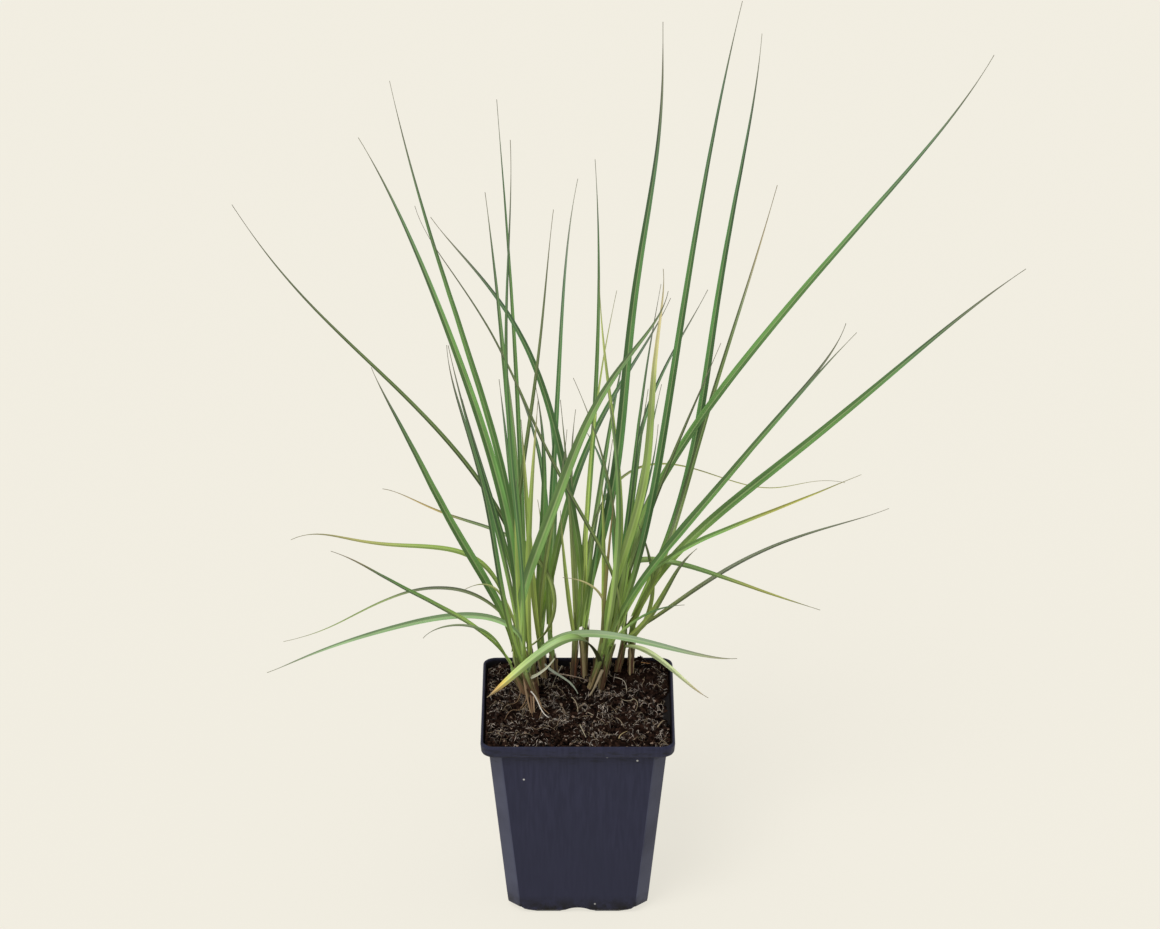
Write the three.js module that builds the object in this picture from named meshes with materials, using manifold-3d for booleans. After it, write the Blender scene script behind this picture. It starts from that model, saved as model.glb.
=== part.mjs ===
// A moor grass in a square nursery pot: narrow arching leaves in five tufts, on sheathed
// stems that each stand in their own hole in the soil.
// Millimetres, +Z up, the front of the pot toward -Y, the origin under the middle of the pot.

import * as THREE from 'three';
import { mergeVertices } from 'three/addons/utils/BufferGeometryUtils.js';
import Module from 'manifold-3d';

const wasm = await Module();
wasm.setup();

// Pot

const RIM_WIDTH = 90;
const POT_HEIGHT = 95;
const BASE_WIDTH = 65;
const SHOULDER_WIDTH = 82.4;
const COLLAR_HEIGHT = 5.6;
const WALL = 1.3;
const CORNER_RADIUS_TOP = 9;
const CORNER_RADIUS_BASE = 7.5;
const COLLAR_CORNER_RADIUS = 6;
const CORNER_STEPS = 3;
const FLOOR_UNDERSIDE = 3.4;
const FLOOR_TOP = 4.8;
const SKIRT_WALL = 1.8;
const CENTRE_FOOT_RADIUS = 7;
const ARCH_RADIUS = 13.5;
const ARCH_HEIGHT = 2.9;
const DRAIN_RADIUS = 3.5;
const DRAIN_PLACES = [[17, 0], [0, 17], [-17, 0], [0, -17], [20, 20], [-20, 20], [-20, -20], [20, -20]];
const ROUND_STEPS = 12;

// Soil

const SOIL_GAP = 0.3;
const SOIL_LEVEL = 92;
const SOIL_CELLS = 25;
const SOIL_SPREAD = 92;
const SOIL_GRAIN = 1.1;
const SOIL_CELL_JITTER = 0.25;
const SOIL_WAVES = [
  { height: 0.7, alongX: 0.31, alongY: 0.27, start: 1 },
  { height: 0.5, alongX: 0.11, alongY: -0.19, start: 0 },
];
const MOUNDS = [
  { at: [29, 36], rise: 3.4, spread: 10 },
  { at: [-30, -34], rise: 1.9, spread: 14 },
  { at: [8, -40], rise: 2.1, spread: 14 },
  { at: [-42, 2], rise: 1.5, spread: 12 },
  { at: [-4, 22], rise: 1.0, spread: 10 },
  { at: [40, 2], rise: -3.6, spread: 12 },
  { at: [-10, -6], rise: -2.4, spread: 11 },
];

// Leafy stems

const STEM_DEPTH = 6;
const STEM_SIDES = 6;
const STEM_FOOT_RADIUS = 1.7;
const STEM_TOP_RADIUS = 1.2;
const STEM_CLEARANCE = 0.45;
const LOWEST_LEAF = 0.62;
const HIGHEST_LEAF = 0.96;
const LEAF_THICKNESS = 0.8;
const LEAF_FOLD = 0.16;
const LEAF_TIP_WIDTH = 0.7;
const WIDTH_AT_STEM = 0.55;
const WIDEST_AT = 0.35;
const TAPER = 2.2;
const LEAF_STATIONS = [0, 0.05, 0.13, 0.23, 0.34, 0.45, 0.56, 0.66, 0.75, 0.84, 0.92, 1];
const SMALL_STEP = 0.004;
const LEAF_FACING = new THREE.Vector3(0, -0.6, 0.8);
const MOST_TWIST = 0.6;
const LEAF_GAP = 0.6;

// Leaves that would touch are bent apart only along this line, straight back from the front.
const BACKWARD = new THREE.Vector3(0, 0.9, -0.43);
const BEND_SAMPLES = 100;
const BEND_ROUNDS = 300;
const BEND_STEP = 0.35;
const LEAST_HOLD = 0.05;

const LEAF_COLOURS = {
  fresh: '#5b8a3c',
  light: '#86ab55',
  deep: '#3f6b2f',
  olive: '#5c6f35',
  blue: '#6c9370',
  lime: '#9cb24f',
  gold: '#8fae5e',
  straw: '#c9b56a',
  dry: '#b39a62',
};

function leaf(width, tone, ...via) {
  return { width, tone, via: via.map((point) => new THREE.Vector3(...point)) };
}

// Every stem: where it leaves the soil, its top, and its leaves from the lowest up. A leaf has
// its width, its tone and the points that it passes, the last of them its tip.
const STEMS = [
  { name: 'left_1', foot: [-25, 9], top: [-32, 8, 111], leaves: [
    leaf(3.4, 'blue', [-38, 4, 136], [-57, -2, 141], [-82, -12, 141], [-108, -25, 139],
      [-129, -37, 136], [-142, -45, 134]),
    leaf(1.8, 'fresh', [-37, 4, 123], [-45, -4, 135], [-56, -13, 142], [-71, -30, 144]),
    leaf(3.6, 'fresh', [-45, -1, 132], [-67, -20, 157], [-88, -45, 183], [-110, -75, 211]),
  ] },
  { name: 'left_2', foot: [-20, 5], top: [-26, 3, 113], leaves: [
    leaf(4.4, 'blue', [-8, 2, 127], [29, -2, 128], [74, -8, 122]),
    leaf(3.2, 'deep', [-36, -11, 164], [-42, -32, 217], [-50, -56, 264], [-57, -85, 316]),
    leaf(2.2, 'deep', [-29, -13, 211], [-32, -34, 296], [-30, -52, 354], [-29, -70, 406]),
  ] },
  { name: 'left_3', foot: [-25, 14], top: [-31, 15, 115], leaves: [
    leaf(3.2, 'lime', [-38, 12, 152], [-52, 10, 167], [-80, 5, 174], [-110, 0, 181], [-132, -5, 182]),
    leaf(4.6, 'fresh', [-39, 10, 145], [-53, 1, 177], [-68, -11, 215], [-81, -26, 252], [-92, -40, 285]),
    leaf(4.4, 'fresh', [-41, 14, 219], [-59, 13, 279], [-76, 11, 327], [-98, 10, 375]),
  ] },
  { name: 'left_4', foot: [-20, 10], top: [-27, 10, 117], leaves: [
    leaf(2.4, 'lime', [-28, 0, 164], [-28, -20, 220]),
    leaf(5.4, 'light', [-17, -8, 183], [-6, -25, 223], [5, -43, 261], [22, -67, 302], [39, -95, 346]),
    leaf(2.4, 'deep', [-34, 4, 167], [-42, -4, 207], [-51, -14, 250], [-58, -25, 289]),
  ] },
  { name: 'left_5', foot: [-25, 19], top: [-31, 22, 116], leaves: [
    leaf(2.6, 'olive', [-38, 22, 132], [-53, 23, 141], [-78, 25, 140], [-106, 27, 126], [-139, 30, 111]),
    leaf(2.6, 'olive', [-35, 25, 178], [-53, 27, 207], [-84, 32, 242], [-117, 37, 275],
      [-144, 42, 307], [-158, 45, 328]),
    leaf(4.0, 'fresh', [-39, 39, 212], [-59, 58, 275], [-73, 74, 318], [-87, 95, 369]),
  ] },
  { name: 'left_6', foot: [-20, 15], top: [-23, 16, 117], leaves: [
    leaf(2.2, 'dry', [-34, 6, 145], [-43, -3, 158], [-52, -10, 159]),
    leaf(3.0, 'lime', [-23, 9, 165], [-21, -2, 211], [-18, -15, 257]),
    leaf(3.4, 'fresh', [-29, 7, 207], [-34, -4, 280], [-41, -20, 361]),
  ] },
  { name: 'left_7', foot: [-20, 20], top: [-24, 21, 119], leaves: [
    leaf(2.4, 'deep', [-32, 20, 159], [-41, 18, 196], [-53, 15, 244]),
    leaf(2.4, 'olive', [-27, 21, 195], [-19, 20, 256], [-14, 20, 306], [-11, 20, 336]),
    leaf(2.6, 'fresh', [-27, 42, 200], [-29, 58, 239], [-33, 87, 295], [-38, 120, 350]),
  ] },
  { name: 'left_8', foot: [-25, 24], top: [-29, 27, 118], leaves: [
    leaf(2.2, 'lime', [-23, 39, 155], [-37, 46, 161], [-57, 57, 163], [-74, 68, 165], [-93, 80, 167]),
    leaf(3.0, 'fresh', [-29, 37, 161], [-33, 54, 200], [-37, 70, 229]),
    leaf(2.8, 'olive', [-29, 85, 169], [-32, 126, 187], [-36, 165, 201]),
  ] },
  { name: 'rear_1', foot: [-16, 29], top: [-19, 31, 116], leaves: [
    leaf(2.4, 'olive', [-15, 30, 154], [-8, 27, 197], [-5, 25, 224]),
    leaf(3.2, 'lime', [-22, 26, 156], [-24, 19, 196], [-26, 10, 236]),
    leaf(4.0, 'fresh', [-17, 41, 159], [-16, 53, 190], [-20, 70, 226]),
  ] },
  { name: 'rear_2', foot: [-11, 33], top: [-14, 37, 118], leaves: [
    leaf(2.4, 'lime', [-15, 46, 146], [-19, 60, 171]),
    leaf(3.0, 'fresh', [-11, 93, 155], [-12, 136, 166], [-17, 175, 174]),
    leaf(2.8, 'deep', [-12, 52, 180], [-8, 82, 246], [-5, 102, 282], [0, 120, 310]),
  ] },
  { name: 'rear_3', foot: [-16, 36], top: [-18, 41, 117], leaves: [
    leaf(2.8, 'deep', [-16, 100, 157], [-22, 143, 169], [-31, 180, 176]),
    leaf(2.6, 'fresh', [-23, 41, 149], [-32, 40, 181]),
    leaf(3.6, 'deep', [-10, 49, 150], [2, 65, 189], [16, 80, 214], [44, 110, 253]),
  ] },
  { name: 'middle_1', foot: [-2, 27], top: [-1, 26, 120], leaves: [
    leaf(2.4, 'lime', [-6, 14, 157], [-8, -5, 197]),
    leaf(2.0, 'olive', [-5, 16, 207], [-8, 10, 246]),
    leaf(4.2, 'deep', [-6, 28, 199], [-16, 30, 242], [-32, 32, 279], [-54, 34, 309], [-67, 35, 326]),
  ] },
  { name: 'middle_2', foot: [3, 27], top: [2, 25, 123], leaves: [
    leaf(2.4, 'deep', [9, 20, 167], [16, 10, 226]),
    leaf(4.6, 'deep', [12, 21, 174], [19, 15, 221], [23, 7, 272], [29, -4, 329], [36, -17, 389],
      [37, -30, 445]),
  ] },
  { name: 'middle_3', foot: [-2, 32], top: [0, 33, 125], leaves: [
    leaf(2.4, 'olive', [-2, 39, 160], [-3, 49, 192], [-1, 60, 218]),
    leaf(2.8, 'fresh', [12, 89, 172], [18, 132, 190], [24, 170, 202]),
    leaf(2.8, 'fresh', [4, 40, 170], [9, 64, 247], [8, 100, 328]),
  ] },
  { name: 'middle_4', foot: [3, 32], top: [4, 31, 126], leaves: [
    leaf(2.2, 'fresh', [6, 27, 156], [10, 20, 188]),
    leaf(1.8, 'olive', [10, 42, 174], [29, 51, 192], [58, 62, 185], [94, 79, 168], [128, 95, 163]),
    leaf(2.2, 'lime', [6, 38, 202], [12, 45, 251], [18, 50, 283]),
  ] },
  { name: 'centre_1', foot: [6, 17], top: [12, 13, 115], leaves: [
    leaf(4.8, 'gold', [-6, 1, 127], [-23, -11, 121], [-42, -24, 110]),
    leaf(2.2, 'fresh', [29, 0, 139], [49, -20, 156]),
    leaf(3.2, 'light', [18, 5, 167], [18, -9, 220], [13, -25, 269]),
  ] },
  { name: 'centre_2', foot: [11, 19], top: [15, 16, 117], leaves: [
    leaf(4.2, 'fresh', [33, 6, 160], [55, -9, 198], [80, -31, 243], [104, -55, 287], [117, -75, 322]),
    leaf(2.4, 'olive', [6, 6, 181], [-14, -5, 227], [-35, -23, 286], [-59, -43, 338], [-71, -55, 369]),
    leaf(4.6, 'straw', [24, -1, 183], [31, -18, 226], [33, -37, 267], [35, -55, 305], [37, -80, 350]),
  ] },
  { name: 'centre_3', foot: [7, 22], top: [13, 21, 120], leaves: [
    leaf(1.8, 'dry', [14, 11, 164], [17, -5, 207]),
    leaf(1.8, 'olive', [15, 1, 204], [9, -10, 235], [-2, -25, 273]),
    leaf(3.0, 'deep', [22, 13, 173], [27, -1, 229], [31, -13, 271], [37, -30, 321]),
  ] },
  { name: 'centre_4', foot: [12, 24], top: [17, 23, 120], leaves: [
    leaf(3.8, 'fresh', [35, 19, 156], [63, 9, 200], [93, -4, 245], [125, -20, 293]),
    leaf(2.8, 'fresh', [23, 17, 171], [27, 10, 210], [32, 0, 256]),
    leaf(3.8, 'deep', [30, 23, 166], [40, 22, 226], [49, 22, 292], [59, 21, 360], [73, 20, 436]),
  ] },
  { name: 'centre_5', foot: [8, 27], top: [13, 28, 122], leaves: [
    leaf(1.8, 'dry', [9, 22, 142], [-7, 12, 154]),
    leaf(2.4, 'lime', [12, 19, 165], [11, 5, 208]),
    leaf(2.8, 'lime', [20, 33, 168], [17, 42, 215], [10, 60, 284]),
  ] },
  { name: 'centre_6', foot: [13, 29], top: [17, 30, 123], leaves: [
    leaf(2.2, 'deep', [24, 28, 161], [33, 24, 199], [37, 20, 229]),
    leaf(2.4, 'olive', [29, 32, 164], [48, 36, 216], [66, 40, 261]),
    leaf(2.8, 'deep', [25, 44, 179], [31, 58, 213], [42, 71, 237], [61, 90, 266]),
  ] },
  { name: 'right_1', foot: [19, 31], top: [22, 29, 115], leaves: [
    leaf(3.0, 'lime', [34, 20, 110], [48, 10, 103], [61, 0, 97]),
    leaf(3.6, 'olive', [37, 21, 134], [46, 10, 158], [55, 0, 175]),
    leaf(3.6, 'lime', [42, 21, 159], [66, 13, 177], [98, 0, 198], [129, -15, 220]),
  ] },
  { name: 'right_2', foot: [25, 31], top: [26, 32, 116], leaves: [
    leaf(3.6, 'blue', [36, 28, 155], [57, 24, 152], [83, 18, 145], [113, 10, 138]),
    leaf(2.2, 'olive', [35, 29, 136], [33, 25, 160], [27, 20, 181]),
    leaf(4.6, 'fresh', [52, 30, 164], [83, 28, 195], [118, 25, 228], [159, 20, 269], [203, 15, 309]),
  ] },
  { name: 'right_3', foot: [20, 37], top: [23, 38, 119], leaves: [
    leaf(2.2, 'lime', [26, 39, 160], [29, 40, 186]),
    leaf(2.8, 'olive', [42, 43, 154], [54, 52, 194], [66, 64, 234], [80, 79, 276], [93, 95, 317]),
    leaf(4.4, 'fresh', [34, 39, 180], [57, 40, 222], [95, 43, 275], [139, 46, 330], [188, 50, 399]),
  ] },
  { name: 'right_4', foot: [25, 36], top: [26, 38, 122], leaves: [
    leaf(2.4, 'deep', [42, 40, 123], [68, 47, 139], [105, 59, 152], [148, 75, 159]),
    leaf(4.2, 'deep', [44, 45, 163], [52, 52, 190], [59, 63, 227], [67, 82, 277], [79, 108, 336],
      [86, 130, 379]),
  ] },
  { name: 'right_5', foot: [14, 34], top: [19, 38, 124], leaves: [
    leaf(3.2, 'fresh', [30, 92, 145], [44, 148, 147], [56, 190, 145]),
    leaf(2.6, 'deep', [16, 95, 151], [10, 139, 157], [2, 170, 158]),
    leaf(2.2, 'fresh', [28, 64, 169], [40, 110, 208]),
  ] },
];

// Helpers

// Seeded random numbers from 0 to 1, the same list on every run.
function seededRandom(seed) {
  let state = seed;
  return () => {
    state = (state * 16807) % 2147483647;
    return state / 2147483647;
  };
}

function solidOf(geometry) {
  const bare = geometry.index ? geometry : mergeVertices(geometry);
  for (const name of Object.keys(bare.attributes)) {
    if (name !== 'position') bare.deleteAttribute(name);
  }
  const merged = mergeVertices(bare, 1e-5);
  return new wasm.Manifold(new wasm.Mesh({
    numProp: 3,
    vertProperties: new Float32Array(merged.attributes.position.array),
    triVerts: new Uint32Array(merged.index.array),
  }));
}

function geometryOf(solid) {
  const mesh = solid.getMesh();
  const geometry = new THREE.BufferGeometry();
  geometry.setAttribute('position', new THREE.Float32BufferAttribute(mesh.vertProperties, 3));
  geometry.setIndex(Array.from(mesh.triVerts));
  geometry.computeVertexNormals();
  return geometry;
}

// A closed skin over rings with the same number of points, each ring counter-clockwise seen
// from the last one. Every second point may ask for the mirrored diagonal.
function skinOverRings(rings, mirrored = () => false) {
  const count = rings[0].length;
  const positions = rings.flat().flatMap((p) => [p.x, p.y, p.z]);
  const triangles = [];
  for (let r = 0; r < rings.length - 1; r += 1) {
    for (let i = 0; i < count; i += 1) {
      const a = r * count + i;
      const b = r * count + (i + 1) % count;
      const c = b + count;
      const d = a + count;
      if (mirrored(i)) triangles.push(a, b, d, b, c, d);
      else triangles.push(a, b, c, a, c, d);
    }
  }
  const last = (rings.length - 1) * count;
  for (let i = 1; i < count - 1; i += 1) {
    triangles.push(0, i + 1, i);
    triangles.push(last, last + i, last + i + 1);
  }
  const geometry = new THREE.BufferGeometry();
  geometry.setAttribute('position', new THREE.Float32BufferAttribute(positions, 3));
  geometry.setIndex(triangles);
  return geometry;
}

function uprightCylinder(radius, from, to, x = 0, y = 0, sides = ROUND_STEPS) {
  const shape = new THREE.CylinderGeometry(radius, radius, to - from, sides);
  shape.rotateX(Math.PI / 2);
  shape.translate(x, y, (from + to) / 2);
  return solidOf(shape);
}

// Pot

// The square outline with rounded corners that a level of the pot has.
function squareRing(width, radius, z) {
  const centre = width / 2 - radius;
  const points = [];
  for (let corner = 0; corner < 4; corner += 1) {
    const start = (corner * Math.PI) / 2;
    const sx = Math.sign(Math.cos(start + Math.PI / 4));
    const sy = Math.sign(Math.sin(start + Math.PI / 4));
    for (let step = 0; step <= CORNER_STEPS; step += 1) {
      const angle = start + (step / CORNER_STEPS) * (Math.PI / 2);
      points.push(new THREE.Vector3(
        sx * centre + radius * Math.cos(angle),
        sy * centre + radius * Math.sin(angle),
        z,
      ));
    }
  }
  return points;
}

const COLLAR_FOOT = POT_HEIGHT - COLLAR_HEIGHT;
const BODY_TOP = COLLAR_FOOT - 1.2;

function bodyWidth(z) {
  return BASE_WIDTH + ((SHOULDER_WIDTH - BASE_WIDTH) * z) / BODY_TOP;
}

function cornerRadius(z) {
  return CORNER_RADIUS_BASE + ((CORNER_RADIUS_TOP - CORNER_RADIUS_BASE) * z) / BODY_TOP;
}

function outsideOfPot() {
  return solidOf(skinOverRings([
    squareRing(BASE_WIDTH - 2.4, CORNER_RADIUS_BASE - 1, 0),
    squareRing(bodyWidth(1.6), cornerRadius(1.6), 1.6),
    squareRing(bodyWidth(BODY_TOP), cornerRadius(BODY_TOP), BODY_TOP),
    squareRing(RIM_WIDTH - 2.2, COLLAR_CORNER_RADIUS, COLLAR_FOOT),
    squareRing(RIM_WIDTH - 0.6, COLLAR_CORNER_RADIUS, COLLAR_FOOT + 1.2),
    squareRing(RIM_WIDTH, COLLAR_CORNER_RADIUS, POT_HEIGHT - 1),
    squareRing(RIM_WIDTH - 0.8, COLLAR_CORNER_RADIUS, POT_HEIGHT),
  ]));
}

// The room inside the walls, from the floor up to a level above the rim.
function insideOfPot(clearance, top) {
  const floor = FLOOR_TOP + clearance;
  const inset = 2 * (WALL + clearance);
  const bodyRing = (z) => squareRing(bodyWidth(z) - inset, cornerRadius(z) - WALL, z);
  const collarWidth = RIM_WIDTH - inset;
  return solidOf(skinOverRings([
    bodyRing(floor),
    bodyRing(BODY_TOP + 0.6),
    squareRing(collarWidth - 1.6, COLLAR_CORNER_RADIUS - WALL, COLLAR_FOOT + 1.4),
    squareRing(collarWidth, COLLAR_CORNER_RADIUS - WALL, POT_HEIGHT),
    squareRing(collarWidth, COLLAR_CORNER_RADIUS - WALL, top),
  ]));
}

// The hollow under the floor that leaves a thin skirt to stand on.
function hollowUnderPot() {
  const width = BASE_WIDTH - 2.4 - 2 * SKIRT_WALL;
  const radius = CORNER_RADIUS_BASE - SKIRT_WALL;
  return solidOf(skinOverRings([
    squareRing(width, radius, -1),
    squareRing(width, radius, FLOOR_UNDERSIDE),
  ]));
}

// A low arch through the skirt under two opposite sides.
function archThrough(turn) {
  const shape = new THREE.CylinderGeometry(ARCH_RADIUS, ARCH_RADIUS, RIM_WIDTH, 2 * ROUND_STEPS);
  shape.rotateZ(turn);
  shape.translate(0, 0, ARCH_HEIGHT - ARCH_RADIUS);
  return solidOf(shape);
}

function potSolid() {
  let pot = outsideOfPot().subtract(insideOfPot(0, POT_HEIGHT + 5)).subtract(hollowUnderPot());
  pot = pot.subtract(archThrough(0)).subtract(archThrough(Math.PI / 2));
  pot = pot.add(uprightCylinder(CENTRE_FOOT_RADIUS, 0, (FLOOR_UNDERSIDE + FLOOR_TOP) / 2));
  for (const [x, y] of DRAIN_PLACES) {
    pot = pot.subtract(uprightCylinder(DRAIN_RADIUS, FLOOR_UNDERSIDE - 1, FLOOR_TOP + 1, x, y));
  }
  return pot;
}

// Soil

function soilHeight(x, y) {
  let height = SOIL_LEVEL;
  for (const wave of SOIL_WAVES) {
    height += wave.height * Math.sin(x * wave.alongX + y * wave.alongY + wave.start);
  }
  for (const { at, rise, spread } of MOUNDS) {
    height += rise * Math.exp(-((x - at[0]) ** 2 + (y - at[1]) ** 2) / (2 * spread * spread));
  }
  return height;
}

// A square block with rough ground on top, made of cells that share their corners.
function groundBlock() {
  const random = seededRandom(31);
  const either = () => 2 * random() - 1;
  const cell = SOIL_SPREAD / SOIL_CELLS;
  const positions = [];
  const triangles = [];
  const at = (i, j) => j * (SOIL_CELLS + 1) + i;
  for (let j = 0; j <= SOIL_CELLS; j += 1) {
    for (let i = 0; i <= SOIL_CELLS; i += 1) {
      const x = (i - SOIL_CELLS / 2 + either() * SOIL_CELL_JITTER) * cell;
      const y = (j - SOIL_CELLS / 2 + either() * SOIL_CELL_JITTER) * cell;
      positions.push(x, y, soilHeight(x, y) + either() * SOIL_GRAIN);
    }
  }
  for (let j = 0; j < SOIL_CELLS; j += 1) {
    for (let i = 0; i < SOIL_CELLS; i += 1) {
      triangles.push(at(i, j), at(i + 1, j), at(i + 1, j + 1));
      triangles.push(at(i, j), at(i + 1, j + 1), at(i, j + 1));
    }
  }
  const edge = [];
  for (let i = 0; i < SOIL_CELLS; i += 1) edge.push(at(i, 0));
  for (let j = 0; j < SOIL_CELLS; j += 1) edge.push(at(SOIL_CELLS, j));
  for (let i = SOIL_CELLS; i > 0; i -= 1) edge.push(at(i, SOIL_CELLS));
  for (let j = SOIL_CELLS; j > 0; j -= 1) edge.push(at(0, j));
  const firstBelow = positions.length / 3;
  for (const top of edge) positions.push(positions[top * 3], positions[top * 3 + 1], 0);
  const middle = positions.length / 3;
  positions.push(0, 0, 0);
  for (let k = 0; k < edge.length; k += 1) {
    const next = (k + 1) % edge.length;
    triangles.push(edge[k], firstBelow + k, edge[next]);
    triangles.push(edge[next], firstBelow + k, firstBelow + next);
    triangles.push(firstBelow + next, firstBelow + k, middle);
  }
  const geometry = new THREE.BufferGeometry();
  geometry.setAttribute('position', new THREE.Float32BufferAttribute(positions, 3));
  geometry.setIndex(triangles);
  return solidOf(geometry);
}

function soilSolid() {
  let soil = groundBlock().intersect(insideOfPot(SOIL_GAP, POT_HEIGHT + 20));
  for (const { foot: [x, y] } of STEMS) {
    const floor = soilHeight(x, y) - STEM_DEPTH - STEM_CLEARANCE;
    soil = soil.subtract(uprightCylinder(STEM_FOOT_RADIUS + STEM_CLEARANCE, floor, POT_HEIGHT + 20, x, y, 8));
  }
  return soil;
}

// Leaf paths

// The share that each point of a path has in the place at t, for a smooth curve through all.
function pathShares(knots, t) {
  return knots.map((own, i) => knots.reduce(
    (share, other, j) => (i === j ? share : (share * (t - other)) / (own - other)),
    1,
  ));
}

function pathPoint(path, t) {
  const shares = pathShares(path.knots, t);
  const point = new THREE.Vector3();
  path.points.forEach((p, i) => point.addScaledVector(p, shares[i]));
  return point;
}

// The path of a leaf, from its place on the stem through its own points to the tip.
function leafPath(root, via) {
  const points = [root, ...via.map((p) => p.clone())];
  const lengths = [0];
  for (let i = 1; i < points.length; i += 1) {
    lengths.push(lengths[i - 1] + points[i].distanceTo(points[i - 1]));
  }
  const knots = lengths.map((length) => length / lengths[lengths.length - 1]);
  return { points, knots };
}

// A leaf is narrow where it leaves the stem, widest a third of the way, then tapers to a hair.
function leafWidth(width, t) {
  const opened = Math.min(t / WIDEST_AT, 1);
  const rise = WIDTH_AT_STEM + (1 - WIDTH_AT_STEM) * Math.sin((opened * Math.PI) / 2);
  return Math.max(width * rise * (1 - t ** TAPER), LEAF_TIP_WIDTH);
}

function stemPoints(stem) {
  const [x, y] = stem.foot;
  const ground = soilHeight(x, y);
  return {
    bottom: new THREE.Vector3(x, y, ground - STEM_DEPTH),
    collar: new THREE.Vector3(x, y, ground + 1.5),
    top: new THREE.Vector3(...stem.top),
  };
}

// Gives every leaf of every stem its path, and every stem a straight one that cannot bend.
function layOutPaths() {
  const paths = [];
  STEMS.forEach((stem, owner) => {
    const { collar, top } = stemPoints(stem);
    paths.push({ owner, fixed: true, width: () => 2 * STEM_FOOT_RADIUS, ...leafPath(collar, [top]) });
    stem.leaves.forEach((blade, order) => {
      const share = stem.leaves.length > 1 ? order / (stem.leaves.length - 1) : 1;
      const root = collar.clone().lerp(top, LOWEST_LEAF + (HIGHEST_LEAF - LOWEST_LEAF) * share);
      const width = (t) => leafWidth(blade.width, t);
      blade.path = { owner, fixed: false, width, ...leafPath(root, blade.via) };
      paths.push(blade.path);
    });
  });
  return paths;
}

// Every place where two paths of different stems pass each other too near, seen from the front.
// Bending along BACKWARD leaves that view as it is, so the list is made once.
function closePasses(paths) {
  const across = new THREE.Vector3(1, 0, 0);
  const upward = new THREE.Vector3().crossVectors(across, BACKWARD).normalize();
  const back = BACKWARD.clone().normalize();
  const samples = paths.map((path) => {
    const list = [];
    for (let k = 0; k <= BEND_SAMPLES; k += 1) {
      const t = k / BEND_SAMPLES;
      const p = pathPoint(path, t);
      const shares = pathShares(path.knots, t);
      shares[0] = 0;
      const hold = path.fixed ? 0 : shares.reduce((sum, share) => sum + share * share, 0);
      list.push({
        path, shares, hold, u: p.dot(across), v: p.dot(upward), depth: p.dot(back), radius: path.width(t) / 2,
      });
    }
    return list;
  });
  const passes = [];
  for (let a = 0; a < samples.length; a += 1) {
    for (let b = a + 1; b < samples.length; b += 1) {
      if (paths[a].owner === paths[b].owner) continue;
      for (const near of samples[a]) {
        for (const far of samples[b]) {
          const reach = near.radius + far.radius + LEAF_GAP;
          const du = near.u - far.u;
          const dv = near.v - far.v;
          const flat = du * du + dv * dv;
          if (flat < reach * reach && near.hold + far.hold > LEAST_HOLD) {
            passes.push({ near, far, need: Math.sqrt(reach * reach - flat) });
          }
        }
      }
    }
  }
  return passes;
}

// Bends the leaves apart, a little in every round, until no pass is too near.
function bendClear(paths) {
  const passes = closePasses(paths);
  for (const path of paths) path.bends = path.points.map(() => 0);
  const depthOf = ({ path, shares, depth }) => shares.reduce(
    (sum, share, i) => sum + share * path.bends[i],
    depth,
  );
  const push = ({ path, shares, hold }, amount) => {
    if (hold < LEAST_HOLD) return;
    shares.forEach((share, i) => {
      path.bends[i] += (amount * share) / hold;
    });
  };
  for (let round = 0; round < BEND_ROUNDS; round += 1) {
    for (const { near, far, need } of passes) {
      const gap = depthOf(near) - depthOf(far);
      const lack = need - Math.abs(gap);
      if (lack <= 0) continue;
      const step = BEND_STEP * lack * (gap < 0 ? -1 : 1);
      const nearPart = near.hold / (near.hold + far.hold);
      push(near, step * nearPart);
      push(far, -step * (1 - nearPart));
    }
  }
  const back = BACKWARD.clone().normalize();
  for (const path of paths) {
    path.points.forEach((point, i) => point.addScaledVector(back, path.bends[i]));
  }
}

// Leaves and stems

// A leaf is folded along its middle: two thin edges, the ridge below and the groove above.
function leafSolid(blade, random) {
  const { path } = blade;
  const turnAtRoot = (random() - 0.5) * MOST_TWIST;
  const turnAtTip = turnAtRoot + (random() - 0.5) * 2 * MOST_TWIST;
  const chord = path.points[path.points.length - 1].clone().sub(path.points[0]).normalize();
  const sideways = new THREE.Vector3().crossVectors(chord, LEAF_FACING).normalize();
  const rings = LEAF_STATIONS.map((t) => {
    const middle = pathPoint(path, t);
    const along = pathPoint(path, t + SMALL_STEP).sub(pathPoint(path, t - SMALL_STEP)).normalize();
    const side = sideways.clone().addScaledVector(along, -sideways.dot(along)).normalize();
    side.applyAxisAngle(along, turnAtRoot + (turnAtTip - turnAtRoot) * t);
    const upper = new THREE.Vector3().crossVectors(side, along);
    const width = path.width(t);
    const fold = LEAF_FOLD * width;
    const offset = (across, above) => {
      return middle.clone().addScaledVector(side, across).addScaledVector(upper, above);
    };
    return [
      offset(-width / 2, fold),
      offset(0, LEAF_THICKNESS / 2),
      offset(width / 2, fold),
      offset(0, -LEAF_THICKNESS / 2),
    ];
  });
  return solidOf(skinOverRings(rings, (i) => i === 0 || i === 3));
}

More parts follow.
